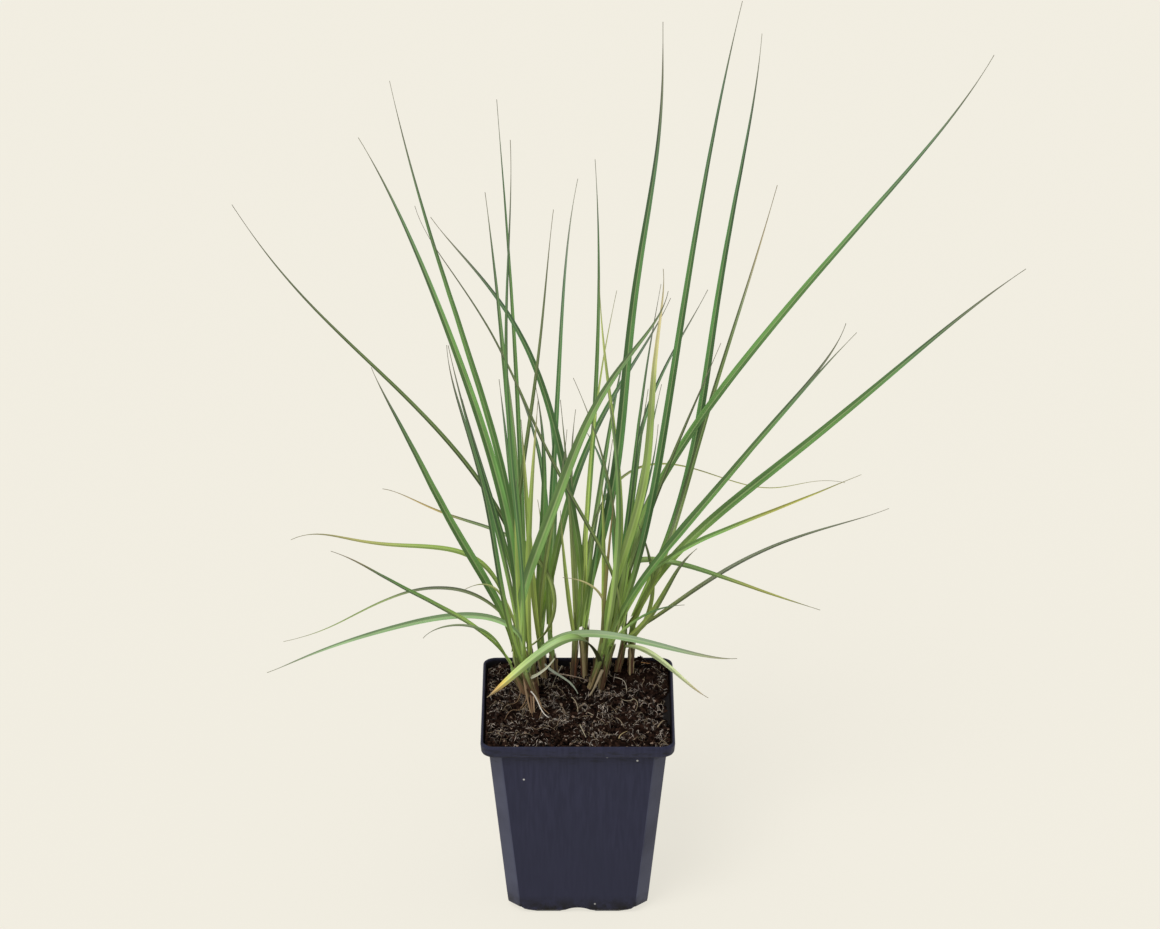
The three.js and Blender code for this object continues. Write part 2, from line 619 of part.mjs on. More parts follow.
function stemSolid(stem) {
  const { bottom, collar, top } = stemPoints(stem);
  const ring = (centre, radius) => {
    const points = [];
    for (let i = 0; i < STEM_SIDES; i += 1) {
      const angle = (i / STEM_SIDES) * 2 * Math.PI;
      points.push(new THREE.Vector3(
        centre.x + radius * Math.cos(angle),
        centre.y + radius * Math.sin(angle),
        centre.z,
      ));
    }
    return points;
  };
  const middle = collar.clone().lerp(top, 0.5);
  return solidOf(skinOverRings([
    ring(bottom, STEM_FOOT_RADIUS),
    ring(collar, STEM_FOOT_RADIUS),
    ring(middle, (STEM_FOOT_RADIUS + STEM_TOP_RADIUS) / 2),
    ring(top, STEM_TOP_RADIUS),
  ]));
}

function leafyStemSolid(stem, random) {
  const leaves = stem.leaves.map((blade) => leafSolid(blade, random));
  return leaves.reduce((whole, one) => whole.add(one), stemSolid(stem));
}

// The whole plant in its pot

function finish(colour, roughness) {
  return new THREE.MeshStandardMaterial({ color: new THREE.Color(colour), roughness, metalness: 0 });
}

function place(name, solid, material) {
  const mesh = new THREE.Mesh(geometryOf(solid), material);
  mesh.name = name;
  return mesh;
}

bendClear(layOutPaths());

const grassInPot = new THREE.Group();
grassInPot.name = 'moor_grass_in_pot';
grassInPot.add(place('pot', potSolid(), finish('#2d303a', 0.5)));
grassInPot.add(place('soil', soilSolid(), finish('#2a211b', 0.95)));

const leafTurns = seededRandom(7);
for (const stem of STEMS) {
  const widest = stem.leaves.reduce((best, blade) => (blade.width > best.width ? blade : best));
  const material = finish(LEAF_COLOURS[widest.tone], 0.55);
  grassInPot.add(place(`stem_${stem.name}`, leafyStemSolid(stem, leafTurns), material));
}

export default grassInPot;
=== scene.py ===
import math
from functools import partial

import bpy
import numpy as np
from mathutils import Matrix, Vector
from mathutils.bvhtree import BVHTree


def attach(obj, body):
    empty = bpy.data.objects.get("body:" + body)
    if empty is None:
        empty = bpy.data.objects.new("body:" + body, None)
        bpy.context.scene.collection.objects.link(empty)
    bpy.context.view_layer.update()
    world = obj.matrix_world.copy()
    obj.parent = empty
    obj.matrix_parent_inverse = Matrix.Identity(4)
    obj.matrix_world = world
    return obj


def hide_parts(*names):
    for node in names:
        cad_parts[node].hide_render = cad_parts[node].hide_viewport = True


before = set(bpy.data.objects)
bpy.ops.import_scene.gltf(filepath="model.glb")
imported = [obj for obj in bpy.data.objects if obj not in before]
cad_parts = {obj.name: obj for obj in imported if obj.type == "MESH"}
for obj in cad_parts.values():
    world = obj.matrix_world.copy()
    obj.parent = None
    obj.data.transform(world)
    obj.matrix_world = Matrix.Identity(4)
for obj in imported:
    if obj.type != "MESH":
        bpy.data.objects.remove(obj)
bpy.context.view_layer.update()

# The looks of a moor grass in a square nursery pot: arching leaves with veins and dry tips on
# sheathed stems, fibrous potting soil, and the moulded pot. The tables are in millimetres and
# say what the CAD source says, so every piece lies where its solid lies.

scene = bpy.context.scene
MM = 0.001

# Sizes of the pot

RIM_WIDTH = 90
POT_HEIGHT = 95
BASE_WIDTH = 65
SHOULDER_WIDTH = 82.4
COLLAR_FOOT = 89.4
BODY_TOP = 88.2
WALL = 1.3
FLOOR_UNDERSIDE = 3.4
FLOOR_TOP = 4.8
SKIRT_WALL = 1.8
CENTRE_FOOT_RADIUS = 7
ARCH_RADIUS = 13.5
ARCH_HEIGHT = 2.9
DRAIN_RADIUS = 3.5
DRAIN_PLACES = [(17, 0), (0, 17), (-17, 0), (0, -17), (20, 20), (-20, 20), (-20, -20), (20, -20)]

# How far a corner is cut flat, and the radius that softens the cut's edges
BODY_CORNER = (5.6, 1.3)
INNER_CORNER = (4.4, 2.2)
COLLAR_CORNER = (3.5, 6.0)
CORNER_STEPS = 5

# How far from a corner its raised part begins, and the share of the rise at each place
CORNER_RISE = [(6, 0), (1.5, 0.3)]

# The walls' edges above this angle stay sharp
SHARPEST_SMOOTHED = 21

# Faces this close to the plane of a cut corner belong to it
CORNER_BAND = (0.5, 0.35)

# Grit that clings to the front wall of the pot
POT_SPECKS = [(13.5, -41.2, 88), (27.5, -41, 86), (8, -32.9, 5), (-25, -39.9, 75.5)]

# Sizes of the soil

SOIL_LEVEL = 92
SOIL_WAVES = [(0.7, 0.31, 0.27, 1), (0.5, 0.11, -0.19, 0)]
MOUNDS = [
    ((29, 36), 3.4, 10),
    ((-30, -34), 1.9, 14),
    ((8, -40), 2.1, 14),
    ((-42, 2), 1.5, 12),
    ((-4, 22), 1.0, 10),
    ((40, 2), -3.6, 12),
    ((-10, -6), -2.4, 11),
]
GROUND_CELLS = 150
GROUND_INSET = 0.25
GROUND_CORNER = 4.7
SOIL_SLACK = 1.3

# Sizes of the leafy stems

COLLAR_RISE = 1.5
STEM_FOOT_RADIUS = 1.7
STEM_TOP_RADIUS = 1.2
SLIM_FOOT = 1.3
LOWEST_LEAF = 0.62
HIGHEST_LEAF = 0.96
LEAF_FOLD = 0.16
LEAF_TIP_WIDTH = 0.7
WIDTH_AT_STEM = 0.55
WIDEST_AT = 0.35
TAPER = 2.2
SMALL_STEP = 0.004
LEAF_FACING = np.array([0, -0.6, 0.8])
MOST_TWIST = 0.6
LEAF_GAP = 0.6
BACKWARD = np.array([0, 0.9, -0.43])
BEND_SAMPLES = 100
BEND_ROUNDS = 300
BEND_STEP = 0.35
BEND_MARGIN = 0.3
LEAST_HOLD = 0.05

LEAF_STATIONS = 64
STEM_STATIONS = 22
SHEATH_STATIONS = 14
THREAD_STATIONS = 18
HAIR_WIDTH = 0.3
BLADE_THICKNESS = 0.42
SHEATH_THICKNESS = 0.28

# A blade has its full thickness where it is this wide, and this share of it at a hair's width
FULL_BLADE_WIDTH = 2.5
HAIR_SHARE = 0.35

# A leaf folds up more where it clasps its stem, and less with the distance
CLASP_FOLD = 0.9
CLASP_REACH = 7

# Where a drawn stem starts and how long it is, in lengths of its path, and where it closes
STEM_START = 0.16
STEM_SPAN = 1.06
STEM_CLOSES = 0.82

# The height above the soil where the dead brown sheaths of a tuft end
DEAD_SHEATH_TO = {"left": 11, "rear": 7, "middle": 24, "centre": 14, "right": 14}

# Every stem: its name, where it leaves the soil, its top, and its leaves from the lowest up.
# A leaf has its width, its tone and the points that it passes, the last of them its tip.
STEMS = [
    ("left_1", (-25, 9), (-32, 8, 111), [
        (3.4, "blue", (-38, 4, 136), (-57, -2, 141), (-82, -12, 141), (-108, -25, 139),
         (-129, -37, 136), (-142, -45, 134)),
        (1.8, "fresh", (-37, 4, 123), (-45, -4, 135), (-56, -13, 142), (-71, -30, 144)),
        (3.6, "fresh", (-45, -1, 132), (-67, -20, 157), (-88, -45, 183), (-110, -75, 211)),
    ]),
    ("left_2", (-20, 5), (-26, 3, 113), [
        (4.4, "blue", (-8, 2, 127), (29, -2, 128), (74, -8, 122)),
        (3.2, "deep", (-36, -11, 164), (-42, -32, 217), (-50, -56, 264), (-57, -85, 316)),
        (2.2, "deep", (-29, -13, 211), (-32, -34, 296), (-30, -52, 354), (-29, -70, 406)),
    ]),
    ("left_3", (-25, 14), (-31, 15, 115), [
        (3.2, "lime", (-38, 12, 152), (-52, 10, 167), (-80, 5, 174), (-110, 0, 181),
         (-132, -5, 182)),
        (4.6, "fresh", (-39, 10, 145), (-53, 1, 177), (-68, -11, 215), (-81, -26, 252),
         (-92, -40, 285)),
        (4.4, "fresh", (-41, 14, 219), (-59, 13, 279), (-76, 11, 327), (-98, 10, 375)),
    ]),
    ("left_4", (-20, 10), (-27, 10, 117), [
        (2.4, "lime", (-28, 0, 164), (-28, -20, 220)),
        (5.4, "light", (-17, -8, 183), (-6, -25, 223), (5, -43, 261), (22, -67, 302),
         (39, -95, 346)),
        (2.4, "deep", (-34, 4, 167), (-42, -4, 207), (-51, -14, 250), (-58, -25, 289)),
    ]),
    ("left_5", (-25, 19), (-31, 22, 116), [
        (2.6, "olive", (-38, 22, 132), (-53, 23, 141), (-78, 25, 140), (-106, 27, 126),
         (-139, 30, 111)),
        (2.6, "olive", (-35, 25, 178), (-53, 27, 207), (-84, 32, 242), (-117, 37, 275),
         (-144, 42, 307), (-158, 45, 328)),
        (4.0, "fresh", (-39, 39, 212), (-59, 58, 275), (-73, 74, 318), (-87, 95, 369)),
    ]),
    ("left_6", (-20, 15), (-23, 16, 117), [
        (2.2, "dry", (-34, 6, 145), (-43, -3, 158), (-52, -10, 159)),
        (3.0, "lime", (-23, 9, 165), (-21, -2, 211), (-18, -15, 257)),
        (3.4, "fresh", (-29, 7, 207), (-34, -4, 280), (-41, -20, 361)),
    ]),
    ("left_7", (-20, 20), (-24, 21, 119), [
        (2.4, "deep", (-32, 20, 159), (-41, 18, 196), (-53, 15, 244)),
        (2.4, "olive", (-27, 21, 195), (-19, 20, 256), (-14, 20, 306), (-11, 20, 336)),
        (2.6, "fresh", (-27, 42, 200), (-29, 58, 239), (-33, 87, 295), (-38, 120, 350)),
    ]),
    ("left_8", (-25, 24), (-29, 27, 118), [
        (2.2, "lime", (-23, 39, 155), (-37, 46, 161), (-57, 57, 163), (-74, 68, 165),
         (-93, 80, 167)),
        (3.0, "fresh", (-29, 37, 161), (-33, 54, 200), (-37, 70, 229)),
        (2.8, "olive", (-29, 85, 169), (-32, 126, 187), (-36, 165, 201)),
    ]),
    ("rear_1", (-16, 29), (-19, 31, 116), [
        (2.4, "olive", (-15, 30, 154), (-8, 27, 197), (-5, 25, 224)),
        (3.2, "lime", (-22, 26, 156), (-24, 19, 196), (-26, 10, 236)),
        (4.0, "fresh", (-17, 41, 159), (-16, 53, 190), (-20, 70, 226)),
    ]),
    ("rear_2", (-11, 33), (-14, 37, 118), [
        (2.4, "lime", (-15, 46, 146), (-19, 60, 171)),
        (3.0, "fresh", (-11, 93, 155), (-12, 136, 166), (-17, 175, 174)),
        (2.8, "deep", (-12, 52, 180), (-8, 82, 246), (-5, 102, 282), (0, 120, 310)),
    ]),
    ("rear_3", (-16, 36), (-18, 41, 117), [
        (2.8, "deep", (-16, 100, 157), (-22, 143, 169), (-31, 180, 176)),
        (2.6, "fresh", (-23, 41, 149), (-32, 40, 181)),
        (3.6, "deep", (-10, 49, 150), (2, 65, 189), (16, 80, 214), (44, 110, 253)),
    ]),
    ("middle_1", (-2, 27), (-1, 26, 120), [
        (2.4, "lime", (-6, 14, 157), (-8, -5, 197)),
        (2.0, "olive", (-5, 16, 207), (-8, 10, 246)),
        (4.2, "deep", (-6, 28, 199), (-16, 30, 242), (-32, 32, 279), (-54, 34, 309),
         (-67, 35, 326)),
    ]),
    ("middle_2", (3, 27), (2, 25, 123), [
        (2.4, "deep", (9, 20, 167), (16, 10, 226)),
        (4.6, "deep", (12, 21, 174), (19, 15, 221), (23, 7, 272), (29, -4, 329), (36, -17, 389),
         (37, -30, 445)),
    ]),
    ("middle_3", (-2, 32), (0, 33, 125), [
        (2.4, "olive", (-2, 39, 160), (-3, 49, 192), (-1, 60, 218)),
        (2.8, "fresh", (12, 89, 172), (18, 132, 190), (24, 170, 202)),
        (2.8, "fresh", (4, 40, 170), (9, 64, 247), (8, 100, 328)),
    ]),
    ("middle_4", (3, 32), (4, 31, 126), [
        (2.2, "fresh", (6, 27, 156), (10, 20, 188)),
        (1.8, "olive", (10, 42, 174), (29, 51, 192), (58, 62, 185), (94, 79, 168), (128, 95, 163)),
        (2.2, "lime", (6, 38, 202), (12, 45, 251), (18, 50, 283)),
    ]),
    ("centre_1", (6, 17), (12, 13, 115), [
        (4.8, "gold", (-6, 1, 127), (-23, -11, 121), (-42, -24, 110)),
        (2.2, "fresh", (29, 0, 139), (49, -20, 156)),
        (3.2, "light", (18, 5, 167), (18, -9, 220), (13, -25, 269)),
    ]),
    ("centre_2", (11, 19), (15, 16, 117), [
        (4.2, "fresh", (33, 6, 160), (55, -9, 198), (80, -31, 243), (104, -55, 287),
         (117, -75, 322)),
        (2.4, "olive", (6, 6, 181), (-14, -5, 227), (-35, -23, 286), (-59, -43, 338),
         (-71, -55, 369)),
        (4.6, "straw", (24, -1, 183), (31, -18, 226), (33, -37, 267), (35, -55, 305),
         (37, -80, 350)),
    ]),
    ("centre_3", (7, 22), (13, 21, 120), [
        (1.8, "dry", (14, 11, 164), (17, -5, 207)),
        (1.8, "olive", (15, 1, 204), (9, -10, 235), (-2, -25, 273)),
        (3.0, "deep", (22, 13, 173), (27, -1, 229), (31, -13, 271), (37, -30, 321)),
    ]),
    ("centre_4", (12, 24), (17, 23, 120), [
        (3.8, "fresh", (35, 19, 156), (63, 9, 200), (93, -4, 245), (125, -20, 293)),
        (2.8, "fresh", (23, 17, 171), (27, 10, 210), (32, 0, 256)),
        (3.8, "deep", (30, 23, 166), (40, 22, 226), (49, 22, 292), (59, 21, 360), (73, 20, 436)),
    ]),
    ("centre_5", (8, 27), (13, 28, 122), [
        (1.8, "dry", (9, 22, 142), (-7, 12, 154)),
        (2.4, "lime", (12, 19, 165), (11, 5, 208)),
        (2.8, "lime", (20, 33, 168), (17, 42, 215), (10, 60, 284)),
    ]),
    ("centre_6", (13, 29), (17, 30, 123), [
        (2.2, "deep", (24, 28, 161), (33, 24, 199), (37, 20, 229)),
        (2.4, "olive", (29, 32, 164), (48, 36, 216), (66, 40, 261)),
        (2.8, "deep", (25, 44, 179), (31, 58, 213), (42, 71, 237), (61, 90, 266)),
    ]),
    ("right_1", (19, 31), (22, 29, 115), [
        (3.0, "lime", (34, 20, 110), (48, 10, 103), (61, 0, 97)),
        (3.6, "olive", (37, 21, 134), (46, 10, 158), (55, 0, 175)),
        (3.6, "lime", (42, 21, 159), (66, 13, 177), (98, 0, 198), (129, -15, 220)),
    ]),
    ("right_2", (25, 31), (26, 32, 116), [
        (3.6, "blue", (36, 28, 155), (57, 24, 152), (83, 18, 145), (113, 10, 138)),
        (2.2, "olive", (35, 29, 136), (33, 25, 160), (27, 20, 181)),
        (4.6, "fresh", (52, 30, 164), (83, 28, 195), (118, 25, 228), (159, 20, 269),
         (203, 15, 309)),
    ]),
    ("right_3", (20, 37), (23, 38, 119), [
        (2.2, "lime", (26, 39, 160), (29, 40, 186)),
        (2.8, "olive", (42, 43, 154), (54, 52, 194), (66, 64, 234), (80, 79, 276), (93, 95, 317)),
        (4.4, "fresh", (34, 39, 180), (57, 40, 222), (95, 43, 275), (139, 46, 330), (188, 50, 399)),
    ]),
    ("right_4", (25, 36), (26, 38, 122), [
        (2.4, "deep", (42, 40, 123), (68, 47, 139), (105, 59, 152), (148, 75, 159)),
        (4.2, "deep", (44, 45, 163), (52, 52, 190), (59, 63, 227), (67, 82, 277), (79, 108, 336),
         (86, 130, 379)),
    ]),
    ("right_5", (14, 34), (19, 38, 124), [
        (3.2, "fresh", (30, 92, 145), (44, 148, 147), (56, 190, 145)),
        (2.6, "deep", (16, 95, 151), (10, 139, 157), (2, 170, 158)),
        (2.2, "fresh", (28, 64, 169), (40, 110, 208)),
    ]),
]


# Colours

def linear(hex_colour):
    """The linear colour of an sRGB hex value."""
    parts = [int(hex_colour[i:i + 2], 16) / 255 for i in (1, 3, 5)]
    return np.array([c / 12.92 if c <= 0.04045 else ((c + 0.055) / 1.055) ** 2.4 for c in parts])


def rgba(hex_colour):
    return (*linear(hex_colour), 1.0)


# A leaf's colour near the stem, along its body, and toward its tip.
TONES = {
    "fresh": ("#9fb862", "#5c8443", "#4f6c4c"),
    "light": ("#a5bf69", "#739a50", "#6a8d59"),
    "deep": ("#8ba651", "#48713a", "#46624b"),
    "olive": ("#93a355", "#5f7340", "#636b50"),
    "blue": ("#8fac6c", "#809d6e", "#86a077"),
    "lime": ("#b3c667", "#96b057", "#adb66a"),
    "gold": ("#8fae66", "#7d9a58", "#aebc5c"),
    "straw": ("#8fb05a", "#86a052", "#c3c481"),
    "pale": ("#a4b07c", "#a3b07c", "#a7a577"),
    "dry": ("#8a8a52", "#93864e", "#8b7a4c"),
    "dull": ("#7f8a50", "#616851", "#636854"),
}
TIP_COLOUR = linear("#7c7466")

# Leaves whose last part has withered: the colour there and the share where it starts.
WITHERED = {
    ("centre_1", 0): ("#e6ab48", 0.86),
    ("left_1", 2): ("#a08a58", 0.80),
    ("left_1", 1): ("#84906f", 0.50),
    ("centre_2", 2): ("#e9dca6", 0.78),
    ("left_2", 0): ("#a3a480", 0.80),
    ("right_1", 0): ("#a58f60", 0.84),
    ("right_1", 2): ("#a9a74c", 0.60),
    ("left_3", 0): ("#b9b46c", 0.72),
    ("left_5", 0): ("#8fa25f", 0.55),
    ("right_3", 1): ("#c0ab74", 0.84),
    ("centre_5", 0): ("#d9cf96", 0.25),
    ("left_6", 0): ("#a9b56a", 0.30),
    ("middle_4", 1): ("#a3a558", 0.40),
    ("left_8", 0): ("#a8904e", 0.72),
    ("right_2", 0): ("#a0a24e", 0.66),
}

# Leaves whose tone differs from that of the table of stems.
OWN_TONES = {
    ("right_1", 0): "pale", ("right_1", 2): "light", ("right_4", 0): "dull",
    ("right_2", 0): "light", ("left_5", 0): "dull", ("left_8", 0): "olive",
}

# A leaf whose lowest part is in the shade of its stem: the colour there and how far it reaches.
SHADED_ROOTS = {("centre_1", 0): ("#5a5f38", 26)}

# A leaf that stays broad almost to its tip, with the power that shapes it.
BLUNT = {("centre_1", 0): 6}

# How a leaf's colour changes along it, in shares of its length
TIP_TONE_SPAN = (0.55, 0.9)
WITHER_SPAN = 0.12
MOST_FADE = 0.85
SHADE_FULL_TO = 0.4

# A stem's colours from its foot up, and those of the sheaths round it
STEM_COLOURS = ["#65533b", "#828550", "#7a9c4c"]
GREEN_SHEATH = "#8d9c55"
SHEATH_COLOURS = ["#7d6847", "#a38d62", "#bba87c", "#574430", "#8a6a4c", "#6f4a34", "#84583e"]


# Seeded numbers

def seeded_random(seed):
    """Seeded random numbers from 0 to 1, the same list on every run."""
    state = seed
    while True:
        state = state * 16807 % 2147483647
        yield state / 2147483647


# Paths of the leaves

def unit(vectors):
    return vectors / np.linalg.norm(vectors, axis=-1, keepdims=True)


def mixed(first, second, share):
    return first + (second - first) * np.asarray(share)[..., None]


def smooth_step(low, high, values):
    t = np.clip((values - low) / (high - low), 0, 1)
    return t * t * (3 - 2 * t)


def soil_height(x, y):
    height = SOIL_LEVEL + 0 * x
    for rise, along_x, along_y, start in SOIL_WAVES:
        height = height + rise * np.sin(x * along_x + y * along_y + start)
    for (at_x, at_y), rise, spread in MOUNDS:
        height = height + rise * np.exp(-((x - at_x) ** 2 + (y - at_y) ** 2) / (2 * spread ** 2))
    return height


def path_shares(knots, t):
    """The share that each point of a path has in the places at t, one row for each place."""
    shares = np.ones((len(t), len(knots)))
    for i, own in enumerate(knots):
        for j, other in enumerate(knots):
            if i != j:
                shares[:, i] *= (t - other) / (own - other)
    return shares


def path_points(path, t):
    return path_shares(path["knots"], t) @ path["points"]


def make_path(points):
    points = np.array(points, float)
    lengths = np.concatenate([[0], np.cumsum(np.linalg.norm(np.diff(points, axis=0), axis=1))])
    return {"points": points, "knots": lengths / lengths[-1], "length": lengths[-1]}


def leaf_width(width, t, least=LEAF_TIP_WIDTH, taper=TAPER):
    """Narrow at the stem, widest a third of the way, then tapering to a hair."""
    opened = np.minimum(t / WIDEST_AT, 1)
    rise = WIDTH_AT_STEM + (1 - WIDTH_AT_STEM) * np.sin(opened * math.pi / 2)
    return np.maximum(width * rise * (1 - t ** taper), least)


def lay_out_paths():
    """One path for each stem, which stays straight, and one for each of its leaves."""
    paths = []
    for owner, (name, foot, top, leaves) in enumerate(STEMS):
        x, y = foot
        collar = np.array([x, y, soil_height(x, y) + COLLAR_RISE])
        top = np.array(top, float)
        stem = make_path([collar, top])
        stem.update(owner=owner, name=name, fixed=True,
                    radii=np.full(BEND_SAMPLES + 1, STEM_FOOT_RADIUS))
        paths.append(stem)
        for order, (width, tone, *via) in enumerate(leaves):
            share = order / (len(leaves) - 1)
            root = collar + (top - collar) * (LOWEST_LEAF + (HIGHEST_LEAF - LOWEST_LEAF) * share)
            path = make_path([root, *via])
            t = np.arange(BEND_SAMPLES + 1) / BEND_SAMPLES
            path.update(owner=owner, name=name, fixed=False, order=order, tone=tone,
                        leaf_width=width, radii=leaf_width(width, t) / 2)
            paths.append(path)
    return paths


def bend_clear(paths):
    """Bends leaves that would touch apart, along BACKWARD only, as the CAD source does."""
    back = unit(BACKWARD)
    upward = unit(np.cross([1, 0, 0], BACKWARD))
    t = np.arange(BEND_SAMPLES + 1) / BEND_SAMPLES
    most = max(len(path["points"]) for path in paths)
    shares, holds, places = [], [], []
    for path in paths:
        own = path_shares(path["knots"], t)
        places.append(own @ path["points"])
        own[:, 0] = 0
        holds.append(np.zeros(len(t)) if path["fixed"] else (own ** 2).sum(1))
        shares.append(np.pad(own, ((0, 0), (0, most - own.shape[1]))))
    near_ones, far_ones, needs = [], [], []
    for a, one in enumerate(paths):
        for b in range(a + 1, len(paths)):
            if one["owner"] == paths[b]["owner"]:
                continue
            reach = one["radii"][:, None] + paths[b]["radii"][None, :] + LEAF_GAP
            du = places[a][:, None, 0] - places[b][None, :, 0]
            dv = (places[a] @ upward)[:, None] - (places[b] @ upward)[None, :]
            flat = du ** 2 + dv ** 2
            held = holds[a][:, None] + holds[b][None, :] > LEAST_HOLD
            i, j = np.nonzero((flat < reach ** 2) & held)
            near_ones.append(i + a * len(t))
            far_ones.append(j + b * len(t))
            needs.append(np.sqrt(reach[i, j] ** 2 - flat[i, j]))
    near_ones, far_ones, needs = map(np.concatenate, (near_ones, far_ones, needs))
    shares, holds = np.concatenate(shares), np.concatenate(holds)
    depths = np.concatenate(places) @ back
    owner = np.repeat(np.arange(len(paths)), len(t))
    bends = np.zeros((len(paths), most))
    for _ in range(BEND_ROUNDS):
        now = depths + (shares * bends[owner]).sum(1)
        lacks = needs - np.abs(now[near_ones] - now[far_ones])
        moved = False
        for k in np.nonzero(lacks > -BEND_MARGIN)[0]:
            near, far = near_ones[k], far_ones[k]
            gap = (depths[near] + shares[near] @ bends[owner[near]]
                   - depths[far] - shares[far] @ bends[owner[far]])
            lack = needs[k] - abs(gap)
            if lack <= 0:
                continue
            moved = True
            step = BEND_STEP * lack * (-1 if gap < 0 else 1)
            part = holds[near] / (holds[near] + holds[far])
            for sample, amount in ((near, step * part), (far, -step * (1 - part))):
                if holds[sample] >= LEAST_HOLD:
                    bends[owner[sample]] += amount * shares[sample] / holds[sample]
        if not moved:
            break
    for path, bend in zip(paths, bends):
        path["points"] = path["points"] + np.outer(bend[:len(path["points"])], back)


# Helpers for meshes and node trees

NODE_FAMILIES = ("ShaderNode", "GeometryNode", "FunctionNode")
VALUE_FIELDS = {"FLOAT": "value", "FLOAT_VECTOR": "vector", "FLOAT_COLOR": "color"}


def feed(tree, node, feeds):
    """Gives a node's inputs, named or numbered, their values and links. A node that is given
    stands for its first output in use."""
    for key, value in feeds.items():
        if isinstance(key, int):
            socket = node.inputs[key]
        else:
            socket = next(s for s in node.inputs if s.enabled and s.name == key)
        if isinstance(value, bpy.types.Node):
            value = next(s for s in value.outputs if s.enabled)
        if isinstance(value, bpy.types.NodeSocket):
            tree.links.new(value, socket)
        else:
            socket.default_value = value


def add(tree, kind, feeds=None, **settings):
    """Adds a node, whose kind is named without its family, makes its settings and feeds it."""
    family = next(f for f in NODE_FAMILIES if hasattr(bpy.types, f + kind))
    node = tree.nodes.new(family + kind)
    for setting, value in settings.items():
        setattr(node, setting, value)
    feed(tree, node, feeds or {})
    return node


def start_tree(name, sizes):
    """A geometry tree with one named input for each size, the way to add its nodes and its
    inputs."""
    tree = bpy.data.node_groups.new(name, "GeometryNodeTree")
    for label, kind in {"Geometry": "Geometry", **sizes}.items():
        tree.interface.new_socket(label, in_out="INPUT", socket_type="NodeSocket" + kind)
    tree.interface.new_socket("Geometry", in_out="OUTPUT", socket_type="NodeSocketGeometry")
    return tree, partial(add, tree), tree.nodes.new("NodeGroupInput").outputs


def end_tree(tree, geometry, *finishes):
    """Makes what a tree has placed real, sets its finishes and lets it out."""
    done = add(tree, "RealizeInstances", {"Geometry": geometry})
    for finish in finishes:
        done = add(tree, "SetMaterial", {"Geometry": done, **finish})
    feed(tree, tree.nodes.new("NodeGroupOutput"), {"Geometry": done})
    return tree


def new_piece(name, mesh):
    piece = bpy.data.objects.new(name, mesh)
    scene.collection.objects.link(piece)
    return piece


def mark(mesh, label, values, kind="FLOAT"):
    """Stores a value at each point of a mesh."""
    spot = mesh.attributes.new(label, kind, "POINT")
    spot.data.foreach_set(VALUE_FIELDS[kind], np.asarray(values, np.float32).ravel())


def settle(piece):
    """Leaves a piece as the plain mesh that its modifiers make of it."""
    depsgraph = bpy.context.evaluated_depsgraph_get()
    mesh = bpy.data.meshes.new_from_object(piece.evaluated_get(depsgraph), depsgraph=depsgraph)
    piece.modifiers.clear()
    start = piece.data
    piece.data = mesh
    bpy.data.meshes.remove(start)
    mesh.name = piece.name
    return mesh


def grow(piece, tree, values):
    """Runs a tree on a piece and leaves the result as its plain mesh."""
    modifier = piece.modifiers.new("grow", "NODES")
    modifier.node_group = tree
    for item in tree.interface.items_tree:
        if item.in_out == "INPUT" and item.name in values:
            modifier[item.identifier] = values[item.name]
    settle(piece)


def keep(piece, slot, *nodes):
    """Says what a finished piece rides on and hides the nodes that it stands for. The slot, which
    names its finish, is not used.
    """
    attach(piece, "root")
    if nodes:
        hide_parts(*nodes)


# Materials

TABLE_GLOW = 0.82


def new_finish(name):
    """A material, the way to add a node to it and the way to feed its skin."""
    material = bpy.data.materials.new(name)
    material.use_nodes = True
    tree = material.node_tree
    return material, partial(add, tree), partial(feed, tree, tree.nodes["Principled BSDF"])


def grass_leaf_finish():
    """Living grass leaf, grown: a satin skin with fine veins along it, a pale midrib, and painted
    shade that makes one side of its fold a little darker than the other, as if the fold turned it
    from the light."""
    material, node, skin = new_finish("satin grass leaf")
    across = node("Attribute", attribute_name="across").outputs["Fac"]
    halves = node("Attribute", attribute_name="halves").outputs["Fac"]
    # Veins lie 0.25 mm apart in life; 0.7 mm is as fine as the picture can show.
    surface = node("Mapping", {
        "Vector": node("UVMap", uv_map="UVMap"), "Scale": (1 / 0.0007, 1 / 0.06, 1)})
    veins = node("TexNoise", {"Vector": surface, "Scale": 1.0, "Detail": 2.0, "Roughness": 0.6})
    streaks = node("MapRange", {"Value": veins, 1: 0.3, 2: 0.7, 3: 0.76, 4: 1.22})
    # Cloudy changes of green every 20 mm or so.
    clouds = node("TexNoise", {
        "Vector": node("TexCoord").outputs["Object"], "Scale": 1 / 0.02, "Detail": 1.0})
    cloudy = node("MapRange", {"Value": clouds, 1: 0.3, 2: 0.7, 3: 0.88, 4: 1.12})
    # Painted shade: one side of the fold is painted lighter and the other darker, by a share that
    # each leaf draws.
    side = node("MapRange", {"Value": across, 1: -0.12, 2: 0.12, 3: -1.0, 4: 1.0})
    shade = node("Math", {0: side, 1: halves, 2: 1.0}, operation="MULTIPLY_ADD")
    level = node("Math", {0: streaks, 1: cloudy}, operation="MULTIPLY")
    level = node("Math", {0: level, 1: shade}, operation="MULTIPLY")
    body = node("VectorMath", {
        0: node("Attribute", attribute_name="tint"), "Scale": level}, operation="SCALE")
    middle = node("Math", {0: across}, operation="ABSOLUTE")
    rib = node("MapRange", {"Value": middle, 1: 0.05, 2: 0.18, 3: 0.42, 4: 0.0})
    skin({
        "Base Color": node("Mix", {
            "Factor": rib, "A": body, "B": rgba("#aebd84")}, data_type="RGBA"),
        "Normal": node("Bump", {"Height": veins, "Strength": 0.5, "Distance": 0.0001}),
        "Roughness": 0.42, "Specular IOR Level": 0.45,
    })
    return material


